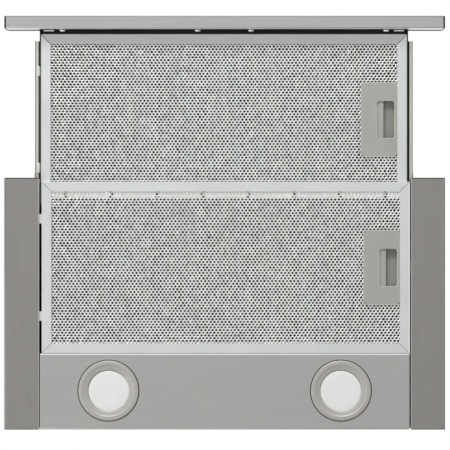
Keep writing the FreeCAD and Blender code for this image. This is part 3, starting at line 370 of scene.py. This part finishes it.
def zinc_plate(name, dark, pale, seed=0.0):
    """Zinc plating with clouds between two tones, drawn out along a rail."""
    material, tree, shader = shader_tree(name)
    clouds = stretched_noise(tree, (160, 16, 160), detail=4.0, seed=seed)
    specks = stretched_noise(tree, (700, 90, 700), detail=2.0, seed=seed + 2)
    toned = mixed(tree, ranged(tree, clouds, 0, 1), dark, pale)
    speckled = mixed(tree, ranged(tree, specks, 0, 0.5), toned, shaded(dark, 0.85))
    tree.links.new(speckled, shader.inputs["Base Color"])
    tree.links.new(ranged(tree, specks, 0.3, 0.45), shader.inputs["Roughness"])
    shader.inputs["Metallic"].default_value = 1.0
    bumped(tree, shader, specks, strength=0.1, distance=0.00005)
    return material


def frosted(name, colour):
    """The lamps' frosted cover: pale, with a faint grain and light spread inside."""
    material, tree, shader = shader_tree(name)
    spread_share, spread_reach = 0.25, 0.004
    grain = stretched_noise(tree, (1500, 1500, 1500), detail=2.0)
    clouds = stretched_noise(tree, (60, 60, 60), detail=2.0, seed=3.0)
    tone = mixed(tree, ranged(tree, clouds, 0, 1), shaded(colour, 0.98), shaded(colour, 1.02))
    tree.links.new(tone, shader.inputs["Base Color"])
    tree.links.new(ranged(tree, grain, 0.42, 0.55), shader.inputs["Roughness"])
    shader.inputs["Subsurface Weight"].default_value = spread_share
    shader.inputs["Subsurface Radius"].default_value = (spread_reach,) * 3
    bumped(tree, shader, grain, strength=0.08, distance=0.00004)
    return material


bar_steel = brushed_metal("bar_steel", (0.62, 0.615, 0.605), along="x", seed=1.0)
panel_steel = brushed_metal("panel_steel", (0.58, 0.57, 0.555), along="x", seed=5.0)
trim_steel = brushed_metal("trim_steel", (0.385, 0.37, 0.355), along="y", seed=9.0)
galvanised = satin_metal("galvanised", (0.55, 0.57, 0.58), roughness=0.45, contrast=0.08, grain=120.0)
frame_aluminium = satin_metal("frame_aluminium", (0.86, 0.875, 0.88), roughness=0.45, contrast=0.02)
mesh_aluminium = satin_metal(
    "mesh_aluminium", (0.94, 0.94, 0.92), roughness=0.33, contrast=0.06, grain=160.0
)
# The filters' inner sheet and core are painted nearly black: painted shade for the inside of the filter
inner_mesh_painted_shade = satin_metal(
    "inner_mesh_painted_shade", (0.11, 0.11, 0.106), roughness=0.45, contrast=0.10, grain=160.0
)
core_painted_shade = satin_metal(
    "core_painted_shade", (0.05, 0.05, 0.048), roughness=0.6, contrast=0.10, grain=160.0
)
plain_steel = satin_metal("plain_steel", (0.60, 0.60, 0.60), roughness=0.35)
screw_steel = satin_metal("screw_steel", (0.90, 0.90, 0.90), roughness=0.30)
rear_screw_steel = satin_metal("rear_screw_steel", (0.30, 0.30, 0.30), roughness=0.35)
zinc = zinc_plate("zinc", (0.62, 0.60, 0.47), (0.74, 0.73, 0.66))
rail_zinc = zinc_plate("rail_zinc", (0.50, 0.46, 0.34), (0.62, 0.58, 0.46), seed=6.0)
# The rails' paler and darker tones are painted light and painted shade
rail_painted_light = zinc_plate("rail_painted_light", (0.80, 0.78, 0.66), (0.88, 0.87, 0.78), seed=9.0)
rail_shade = zinc_plate("rail_shade", (0.12, 0.115, 0.085), (0.18, 0.17, 0.13), seed=12.0)
bezel_coat = satin_metal("bezel_coat", (0.50, 0.485, 0.46), roughness=0.56, contrast=0.02, metallic=0.6)
# Painted highlights and painted shade, which thin strips lay along edges and folds
painted_highlight = satin_metal("painted_highlight", (1.0, 1.0, 1.0), roughness=0.4, contrast=0.0, metallic=0.5)
painted_pale_highlight = satin_metal("painted_pale_highlight", (0.66, 0.655, 0.64), roughness=0.4, contrast=0.01)
painted_fold_shade = satin_metal("painted_fold_shade", (0.48, 0.475, 0.465), roughness=0.4, contrast=0.02)
painted_edge_shade = satin_metal("painted_edge_shade", (0.06, 0.06, 0.06), roughness=0.5, contrast=0.02)
# Painted shade: the bar's shadow on the visor frame's front strip
shaded_aluminium = satin_metal("shaded_aluminium", (0.66, 0.665, 0.665), roughness=0.45, contrast=0.02)
seam_grey = satin_metal("seam_grey", (0.24, 0.24, 0.24), roughness=0.5, contrast=0.02)
black_paint = moulded("black_paint", (0.012, 0.012, 0.013), roughness=0.42, grain=700.0)
black_plastic = moulded("black_plastic", (0.015, 0.015, 0.016), roughness=0.45, grain=900.0)
black_rubber = moulded("black_rubber", (0.010, 0.010, 0.010), roughness=0.7, grain=1200.0)
handle_grey = moulded("handle_grey", (0.36, 0.37, 0.345), roughness=0.48, grain=800.0, relief=0.2)
# Painted shade for the handle's pocket, and a painted highlight for its rims
pocket_painted_shade = moulded("pocket_painted_shade", (0.25, 0.257, 0.24), roughness=0.48, grain=800.0, relief=0.2, seed=7.0)
rim_painted_highlight = moulded("rim_painted_highlight", (0.56, 0.57, 0.53), roughness=0.45, grain=800.0, relief=0.1, seed=8.0)
blower_grey = moulded("blower_grey", (0.20, 0.21, 0.22), roughness=0.5, grain=700.0)
motor_coat = moulded("motor_coat", (0.10, 0.105, 0.115), roughness=0.4, grain=500.0)
lamp_cover = frosted("lamp_cover", (0.80, 0.80, 0.785))
board_white = moulded("board_white", (0.75, 0.76, 0.70), roughness=0.4, grain=400.0)

FINISHES = {
    "front_bar": bar_steel,
    "lamp_panel": panel_steel,
    "side_trim_left": trim_steel,
    "side_trim_right": trim_steel,
    "casing_shell": galvanised,
    "casing_top": galvanised,
    "visor_cover": galvanised,
    "motor_bracket": galvanised,
    "trim_rivets": plain_steel,
    "lamp_clips": plain_steel,
    "fan_shaft": plain_steel,
    "ball_cage_left": plain_steel,
    "ball_cage_right": plain_steel,
    "rear_screws": rear_screw_steel,
    "visor_screws": screw_steel,
    "visor_clips": screw_steel,
    "mounting_bracket_left": zinc,
    "mounting_bracket_right": zinc,
    "slide_fixed_left": zinc,
    "slide_fixed_right": zinc,
    "slide_moving_left": zinc,
    "slide_moving_right": zinc,
    "visor_tray": black_paint,
    "closing_buffers": black_rubber,
    "motor_bushes": black_rubber,
    "blower_housing_left": blower_grey,
    "blower_housing_right": blower_grey,
    "motor_capacitor": blower_grey,
    "lamp_driver": blower_grey,
    "motor": motor_coat,
    "led_module_left": board_white,
    "led_module_right": board_white,
    "lamp_bezel_left": bezel_coat,
    "lamp_bezel_right": bezel_coat,
    "lamp_diffuser_left": lamp_cover,
    "lamp_diffuser_right": lamp_cover,
}
for filter_name in ("visor", "fixed"):
    FINISHES[f"{filter_name}_filter_frame"] = frame_aluminium
    FINISHES[f"{filter_name}_filter_mesh"] = mesh_aluminium
    FINISHES[f"{filter_name}_filter_core"] = core_painted_shade
    FINISHES[f"{filter_name}_filter_handle"] = handle_grey
    FINISHES[f"{filter_name}_filter_latch"] = handle_grey


def finish_nodes():
    """Gives every CAD node its material and soft edges."""
    for name in nodes:
        paint(name, FINISHES.get(name, black_plastic))
        soften(name)


# Filter meshes


def hole_points(x, y, level, size):
    """A hole's points: its rim, and the edge of its wall above. The rim rises to one side, as a
    slanting strand does."""
    points = []
    for depth, share in ((HOLE_RISE, 1.0), (HOLE_DEPTH, HOLE_TAPER)):
        reach = HOLE_SIZE / 2 * size * share
        for step in range(HOLE_CORNERS):
            angle = math.tau * step / HOLE_CORNERS
            slant = HOLE_TILT * math.sin(angle + math.pi / 4)
            points.append((x + reach * math.cos(angle), y + reach * math.sin(angle), level + depth + slant))
    return points


def hole_faces(low, high, first):
    """The faces from a cell's border to its hole's rim, and the hole's wall. low and high are the
    middle points of the border before and behind the hole, and first is the rim's first point."""
    east, north_east, north, north_west, west, south_west, south, south_east = range(
        first, first + HOLE_CORNERS
    )
    faces = [
        (low + 1, high + 1, east),
        (high + 1, north_east, east),
        (high + 1, high, north, north_east),
        (high, high - 1, north_west, north),
        (high - 1, west, north_west),
        (high - 1, low - 1, west),
        (low - 1, south_west, west),
        (low - 1, low, south, south_west),
        (low, low + 1, south_east, south),
        (low + 1, east, south_east),
    ]
    above = first + HOLE_CORNERS
    for step in range(HOLE_CORNERS):
        after = (step + 1) % HOLE_CORNERS
        faces.append((first + step, first + after, above + after, above + step))
    return faces


def filter_sheet(which, name, level, pitches, material, seed, keep_out):
    """A sheet of holes over one filter's mesh, each in a cell of its own, laid as bricks are.
    keep_out is a box in x and y that the sheet leaves free."""
    left, right, front, back, _, _ = node_box(f"{which}_filter_mesh")
    left, right, front, back = left + MESH_INSET, right - MESH_INSET, front + MESH_INSET, back - MESH_INSET
    pitch, row_pitch = pitches
    half = pitch / 2
    columns = int((right - left) / pitch)
    rows = int((back - front) / row_pitch)
    stride = 2 * columns + 1
    start_x = (left + right) / 2 - columns * half
    start_y = (front + back) / 2 - rows * row_pitch / 2
    random = np.random.default_rng(seed)
    vertices = [
        (start_x + i * half, start_y + j * row_pitch, level) for j in range(rows + 1) for i in range(stride)
    ]
    faces = []
    for row in range(rows):
        staggered = row % 2
        for column in range(columns - staggered):
            middle = 2 * column + 1 + staggered
            x = start_x + middle * half
            y = start_y + (row + 0.5) * row_pitch
            if keep_out[0] < x < keep_out[1] and keep_out[2] < y < keep_out[3]:
                continue
            size = 1 + SIZE_SPREAD * random.standard_normal()
            x += PLACE_SPREAD * pitch * random.standard_normal()
            low = row * stride + middle
            faces += hole_faces(low, low + stride, len(vertices))
            vertices += hole_points(x, y, level, size)
    return make_piece(name, vertices, faces, material, body_of(f"{which}_filter_mesh"), smooth=True)


def filter_sheets(which, seed):
    """The outer mesh, which closes up to the handle's plate, and the sheet above it in painted shade."""
    low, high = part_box(f"{which}_filter_mesh")
    plate_low, plate_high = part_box(f"{which}_filter_handle")
    plate = (plate_low.x + PLATE_CORNER, high.x, plate_low.y + PLATE_CORNER, plate_high.y - PLATE_CORNER)
    outer = filter_sheet(
        which, f"{which}_outer_mesh", low.z + HOLE_TILT, (HOLE_PITCH, HOLE_ROW_PITCH),
        mesh_aluminium, seed, plate,
    )
    pocket = (plate_low.x - INNER_GAP, high.x, plate_low.y - INNER_GAP, plate_high.y + INNER_GAP)
    pitches = (HOLE_PITCH * INNER_PITCH_SHARE, HOLE_ROW_PITCH * INNER_ROW_SHARE)
    inner = filter_sheet(
        which, f"{which}_inner_mesh", low.z + INNER_RISE, pitches, inner_mesh_painted_shade, seed + 1, pocket
    )
    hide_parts(f"{which}_filter_mesh")


# Lamps


def lamp(side):
    """The bezel with its step ring and cup, its seal, and the frosted cover, all turned finely. The
    ring's and the seal's faces point inwards, and a render shows both sides alike."""
    left, right, front, back, _, _ = node_box(f"lamp_bezel_{side}")
    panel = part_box("lamp_panel")[0].z
    centre = ((left + right) / 2, (front + back) / 2, panel)
    body = body_of(f"lamp_bezel_{side}")

    rim = [(34.0, 0.0), (34.0, -0.5), (33.9, -0.9), (33.5, -1.3), (32.9, -1.45)]
    step = [(29.4, -1.45), (28.9, -1.35), (28.6, -1.0), (28.3, -0.8), (27.8, -0.75)]
    funnel = [(24.2, -0.1), (23.6, 0.1), (23.3, 0.35), (23.3, 1.5)]
    cup = [(28.5, 1.5), (28.5, 24.5), (0.0, 24.5), (0.0, 26.0), (30.0, 26.0), (30.0, 0.05), (34.0, 0.0)]
    bezel = in_metres(rim + step + funnel + cup)
    ring = turned(f"lamp_ring_{side}", bezel, centre, bezel_coat, body)
    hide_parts(f"lamp_bezel_{side}")

    band = in_metres([(35.0, 0.0), (34.9, -0.35), (34.6, -0.45), (34.0, -0.45), (34.0, 0.0), (35.0, 0.0)])
    seal = turned(f"lamp_seal_{side}", band, centre, black_rubber, body)

    dome = [(0.0, 0.30), (8.0, 0.31), (15.0, 0.36), (20.0, 0.48), (22.4, 0.62), (23.1, 0.85), (23.2, 1.2)]
    seat = [(23.2, 1.6), (26.5, 1.6), (26.5, 2.7), (0.0, 2.7)]
    aside, rearward = COVER_SHIFT[side]
    place = (centre[0] + aside, centre[1] + rearward, centre[2])
    cover = turned(f"lamp_cover_{side}", in_metres(dome + seat), place, lamp_cover, body)
    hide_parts(f"lamp_diffuser_{side}")


# Edges, seams and folds that the CAD pieces have too simply, most drawn in painted highlight and
# painted shade


def frame_edges(which):
    """A filter frame's outer edges, which lie just outside its mesh's, and its underside."""
    left, right, front, back, _, _ = node_box(f"{which}_filter_mesh")
    low = node_box(f"{which}_filter_frame")[4]
    return left - FILTER_EDGE, right + FILTER_EDGE, front - FILTER_EDGE, back + FILTER_EDGE, low


def mitre_seams(which):
    """The thin dark joint across each corner of a filter's frame."""
    left, right, front, back, low = frame_edges(which)
    level, half = low - LINE / 2, SEAM_WIDTH[which] / 2
    vertices, faces = [], []
    for x, inward in ((left, 1), (right, -1)):
        for y, rearward in ((front, 1), (back, -1)):
            outer = Vector((x + inward * half, y + rearward * half, level))
            inner = Vector((x + inward * FILTER_RIM, y + rearward * FILTER_RIM, level))
            aside = Vector((inward * half, -rearward * half, 0))
            first = len(vertices)
            vertices += [outer + aside, inner + aside, inner - aside, outer - aside]
            faces.append((first, first + 1, first + 2, first + 3))
    piece = make_piece(f"{which}_mitre_seams", vertices, faces, seam_grey, body_of(f"{which}_filter_frame"))


def shaded_strip():
    """The visor frame's front strip between its mitres, painted darker with the bar's shade."""
    left, right, front, _, low = frame_edges("visor")
    level, inner = low - LINE / 4, front + FILTER_RIM
    outer_edge = [(left, front, level), (right, front, level)]
    inner_edge = [(right - FILTER_RIM, inner, level), (left + FILTER_RIM, inner, level)]
    body = body_of("visor_filter_frame")
    piece = make_piece(
        "visor_front_strip_shade", outer_edge + inner_edge, [(0, 1, 2, 3)], shaded_aluminium, body
    )


def handle_lines(which):
    """Painted highlights on a filter handle's rim and its pocket's edge, and painted shade on the
    pocket's floor.
    """
    body = body_of(f"{which}_filter_handle")
    left, right, front, back, low, high = node_box(f"{which}_filter_handle")
    flat = (low - LINE, low + LINE)
    start, stop = left + PLATE_CORNER / 2, right - PLATE_RIM
    finger_left = left + FINGER_LEFT
    pocket_left, pocket_right = left + POCKET_LEFT, left + POCKET_RIGHT
    pocket_front, pocket_back = (front + back) / 2 - POCKET_HALF, (front + back) / 2 + POCKET_HALF
    rims = [
        (left - PLATE_RIM, left, front + PLATE_CORNER / 2, back - PLATE_CORNER / 2, *flat),
        (start, stop, front - PLATE_RIM, front, *flat),
        (start, stop, back, back + PLATE_RIM, *flat),
        (pocket_right, pocket_right + POCKET_EDGE, pocket_front + POCKET_EDGE, pocket_back, *flat),
        (finger_left + PLATE_RIM, pocket_right, pocket_back, pocket_back + POCKET_EDGE, *flat),
        (finger_left - POCKET_EDGE, finger_left, pocket_front + PLATE_RIM, pocket_back - PLATE_RIM, *flat),
    ]
    strips(f"{which}_handle_rim_highlights", rims, rim_painted_highlight, body)
    floor = high - POCKET_FLOOR
    patch = (pocket_left, pocket_right, pocket_front, pocket_back, floor, floor + LINE)
    strips(f"{which}_pocket_floor_shade", [patch], pocket_painted_shade, body)


def fixed_filter_lines():
    """A painted highlight on the fixed frame's outer edge on the right, and the mesh's folded hem at
    the front.
    """
    left, right, front, back, low = frame_edges("fixed")
    edge = (right - FRAME_BRIGHT_EDGE, right, front + END_GAP, back, low - LINE, low + LINE)
    strips("fixed_frame_edge_highlight", [edge], painted_highlight, body_of("fixed_filter_frame"))
    mesh_low = node_box("fixed_filter_mesh")[4]
    start = front + FILTER_RIM - HEM_OVERLAP
    width = (left + FILTER_RIM, right - FILTER_RIM)
    hem = (*width, start, start + HEM_WIDTH, mesh_low + HEM_LOW, mesh_low + HEM_HIGH)
    strips("fixed_mesh_hem", [hem], mesh_aluminium, body_of("fixed_filter_mesh"))


def bar_lines():
    """Painted shade on the bar's squared front fold and its rear bend, a painted highlight on its
    lower lip and painted shade on the upper lip of its free ends. The opening between the lips stays
    free for the slides."""
    body = body_of("front_bar")
    left, right, front, back, low, high = node_box("front_bar")
    tray_left, tray_right, _, _, tray_low, _ = node_box("visor_tray")
    level = (low - LINE, low + LINE)
    fold = (left, right, front, front + BAR_FOLD, *level)
    strips("bar_front_fold_shade", [fold], painted_fold_shade, body)
    bend = (left, right, back - FOLD, back - FOLD / 2, *level)
    strips("bar_rear_bend_shade", [bend], painted_fold_shade, body)

    depth = (back - LINE, back + SKIN)
    lower_lip = (low + LINE, low + BAR_LOWER_LIP - LINE)
    upper_lip = (high - BAR_UPPER_LIP + LINE, high - LINE)
    ends = [(left, tray_left - END_GAP), (tray_right + END_GAP, right)]
    bright = [(*end, *depth, *lower_lip) for end in ends]
    bright.append((tray_left, tray_right, *depth, low + LINE, tray_low - LINE))
    strips("bar_lower_lip_highlight", bright, painted_highlight, body)
    dark = [(*end, *depth, *upper_lip) for end in ends]
    strips("bar_upper_lip_shade", dark, painted_edge_shade, body)


def trim_lines(side):
    """A side trim's squared outer fold, a painted highlight on its inner edge and painted shade on its
    rear edge.
    """
    node = f"side_trim_{side}"
    body = body_of(node)
    left, right, front, back, low, _ = node_box(node)
    level = (low - LINE, low + LINE)
    outer, inner = (left, left + FOLD), (right - FOLD, right)
    if side == "right":
        outer, inner = inner, outer
    strips(f"trim_fold_{side}", [(*outer, front, back, *level)], trim_steel, body)
    pale = (*inner, front + END_GAP, back, *level)
    strips(f"trim_inner_highlight_{side}", [pale], painted_pale_highlight, body)
    rear = (left, right, back - TRIM_REAR_EDGE, back, low - 2 * LINE, low)
    strips(f"trim_rear_shade_{side}", [rear], painted_edge_shade, body)


def panel_lines():
    """Painted highlights on the lamp panel's front fold and on its left and rear edges."""
    body = body_of("lamp_panel")
    left, right, front, back, low, _ = node_box("lamp_panel")
    level = (low - LINE, low + LINE)
    fold = (left, right, front, front + PANEL_FOLD, *level)
    strips("panel_front_fold_highlight", [fold], painted_highlight, body)
    edges = [
        (left, left + FOLD, front + PANEL_FOLD, back, *level),
        (left + FOLD, right, back - FOLD, back, *level),
    ]
    strips("panel_edge_highlights", edges, painted_pale_highlight, body)


# Rails and screws


def rail_section(width, height):
    """The points round a slide's outer channel, in millimetres from the tray and from its underside,
    and the numbers of the lower half's edges that form its foot, its raceway and its lip."""
    foot = [(0, 1.9), (0.25, 1.0), (0.75, 0.4), (1.5, 0.1)]
    race = [(1.9, 0), (width - 1.7, 0)]
    lip = [(width - 0.9, 0.1), (width - 0.3, 0.4), (width, 1.0)]
    inside = [(width - 1.0, 1.1), (width - 1.9, 1.0), (2.0, 1.0), (1.3, 1.3), (1.0, 1.9)]
    lower = foot + race + lip + inside
    upper = [(across, height - up) for across, up in reversed(lower)]
    return lower + upper, range(4), range(4, 6), range(6, 8)


def rail(side):
    """The slide's outer channel as it is formed: a round foot against the tray, a flat raceway and
    a curled lip, above and below. The lips and the right one's foot are drawn in painted shade, and
    the raceway in painted light."""
    node = f"slide_moving_{side}"
    left, right, front, back, low, high = node_box(node)
    wall, outward = (right, -1) if side == "left" else (left, 1)
    section, foot, race, lip = rail_section((right - left) / MM, (high - low) / MM)
    outline = [(wall + outward * across * MM, low + up * MM) for across, up in section]
    piece = drawn_out(f"rail_{side}", outline, front, back, rail_zinc, body_of(node))
    piece.data.materials.append(rail_shade)
    piece.data.materials.append(rail_painted_light)
    in_shade, in_light = 1, 2
    count = len(outline)
    for index in range(count):
        mirror = min(index, (2 * count - 2 - index) % count)
        if mirror in lip or (mirror in foot and side == "right"):
            piece.data.polygons[index].material_index = in_shade
        elif mirror in race:
            piece.data.polygons[index].material_index = in_light
    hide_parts(node)


def screw_places(node, head_radius):
    """The middle of each of a node's screws along X, found from the gaps between them."""
    xs = sorted(vertex.co.x for vertex in nodes[node].data.vertices)
    groups = [[xs[0]]]
    for x in xs[1:]:
        if x - groups[-1][-1] > 2 * head_radius:
            groups.append([])
        groups[-1].append(x)
    return [(group[0] + group[-1]) / 2 for group in groups]


def pan_heads(node, head_radius, head_height, material):
    """Plain round heads on short shanks, one for each of a node's screws, which all lie along Y with
    their heads to the wall. Their faces point inwards, and a render shows both sides alike."""
    _, _, _, back, low, high = node_box(node)
    shank_radius, shank_length = 0.4 * head_radius, 3 * MM
    dome = [(0.0, 1.0), (0.35, 0.98), (0.62, 0.9), (0.82, 0.72), (0.94, 0.45), (1.0, 0.1), (1.0, 0.0)]
    profile = [(radius * head_radius, height * head_height) for radius, height in dome]
    profile += [(shank_radius, 0.0), (shank_radius, -shank_length), (0.0, -shank_length)]
    for number, x in enumerate(screw_places(node, head_radius)):
        centre = (x, back - head_height, (low + high) / 2)
        head = turned(
            f"{node}_{number + 1}", profile, centre, material, body_of(node), axis="y", segments=32
        )
        if number == 0:
            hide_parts(node)


# Light, floor and camera


def soft_light(name, place, aim, size, power):
    """A round lamp, which the camera doesn't see."""
    data = bpy.data.lights.new(name, "AREA")
    data.shape = "DISK"
    data.size = size
    data.energy = power
    lamp_object = bpy.data.objects.new(name, data)
    lamp_object.location = place
    lamp_object.rotation_euler = (Vector(aim) - Vector(place)).to_track_quat("-Z", "Y").to_euler()
    lamp_object.visible_camera = False
    bpy.context.scene.collection.objects.link(lamp_object)


def light_path_choice(tree, seen, plain):
    """One shader for what the camera sees, also in a gloss or through a clear piece, and a plain one
    for the light that falls on the pieces."""
    path = tree.nodes.new("ShaderNodeLightPath")
    total = path.outputs["Is Camera Ray"]
    for name in ("Is Glossy Ray", "Is Transmission Ray"):
        either = tree.nodes.new("ShaderNodeMath")
        either.operation = "MAXIMUM"
        tree.links.new(total, either.inputs[0])
        tree.links.new(path.outputs[name], either.inputs[1])
        total = either.outputs["Value"]
    mix = tree.nodes.new("ShaderNodeMixShader")
    tree.links.new(total, mix.inputs["Fac"])
    tree.links.new(plain, mix.inputs[1])
    tree.links.new(seen, mix.inputs[2])
    return mix.outputs["Shader"]


def make_world():
    """Even soft light, with a white background behind the hood."""
    world = bpy.data.worlds.new("studio")
    bpy.context.scene.world = world
    world.use_nodes = True
    tree = world.node_tree
    plain = tree.nodes["Background"]
    seen = tree.nodes.new("ShaderNodeBackground")
    for shader, strength in ((plain, EVEN_LIGHT), (seen, BACKGROUND_LIGHT)):
        shader.inputs["Color"].default_value = (1, 1, 1, 1)
        shader.inputs["Strength"].default_value = strength
    chosen = light_path_choice(tree, seen.outputs["Background"], plain.outputs["Background"])
    tree.links.new(chosen, tree.nodes["World Output"].inputs["Surface"])


def make_floor():
    """A pale floor, far enough below the hood for the camera to stay above it."""
    half, level = FLOOR_HALF_WIDTH, FLOOR_LEVEL
    mesh = bpy.data.meshes.new("floor")
    corners = [(-half, -half, level), (half, -half, level), (half, half, level), (-half, half, level)]
    mesh.from_pydata(corners, [], [(0, 1, 2, 3)])
    paint_coat = moulded(
        "floor_paint", (0.82, 0.82, 0.82), roughness=0.7, grain=20.0, relief=0.02, contrast=0.01
    )
    mesh.materials.append(paint_coat)
    floor = bpy.data.objects.new("floor", mesh)
    bpy.context.scene.collection.objects.link(floor)


def make_camera():
    """Straight below the hood, looking up, with the room side at the top of the picture."""
    _, _, _, wall, underside, _ = node_box("side_trim_left")
    data = bpy.data.cameras.new("camera")
    data.sensor_width = SENSOR_WIDTH
    data.lens = SENSOR_WIDTH * CAMERA_DISTANCE / (PHOTO_PIXELS * PIXEL_SIZE)
    data.clip_end = FAR_LIMIT
    camera = bpy.data.objects.new("camera", data)
    x = (PHOTO_PIXELS / 2 - MIDDLE_PIXEL) * PIXEL_SIZE
    y = wall - (WALL_PIXEL - PHOTO_PIXELS / 2) * PIXEL_SIZE
    camera.location = (x, y, underside - CAMERA_DISTANCE)
    camera.rotation_euler = (math.pi, 0, 0)
    bpy.context.scene.collection.objects.link(camera)
    bpy.context.scene.camera = camera


make_camera()
make_world()
make_floor()
soft_light("front_softbox", place=(-0.3, -2.1, -1.3), aim=(0, -0.1, -0.18), size=0.8, power=42)
soft_light("left_softbox", place=(-1.7, 0.9, -1.7), aim=(0, 0, -0.18), size=1.4, power=12)
soft_light("top_softbox", place=(0.8, -1.2, 2.2), aim=(0, 0, 0), size=1.6, power=30)
bpy.context.scene.view_settings.view_transform = "Standard"

finish_nodes()
filter_sheets("visor", seed=11)
filter_sheets("fixed", seed=23)
for filter_name in ("visor", "fixed"):
    mitre_seams(filter_name)
    handle_lines(filter_name)
fixed_filter_lines()
shaded_strip()
bar_lines()
panel_lines()
for hood_side in ("left", "right"):
    lamp(hood_side)
    rail(hood_side)
    trim_lines(hood_side)
pan_heads("visor_screws", head_radius=4.0 * MM, head_height=2.3 * MM, material=screw_steel)
pan_heads("rear_screws", head_radius=3.6 * MM, head_height=1.4 * MM, material=rear_screw_steel)
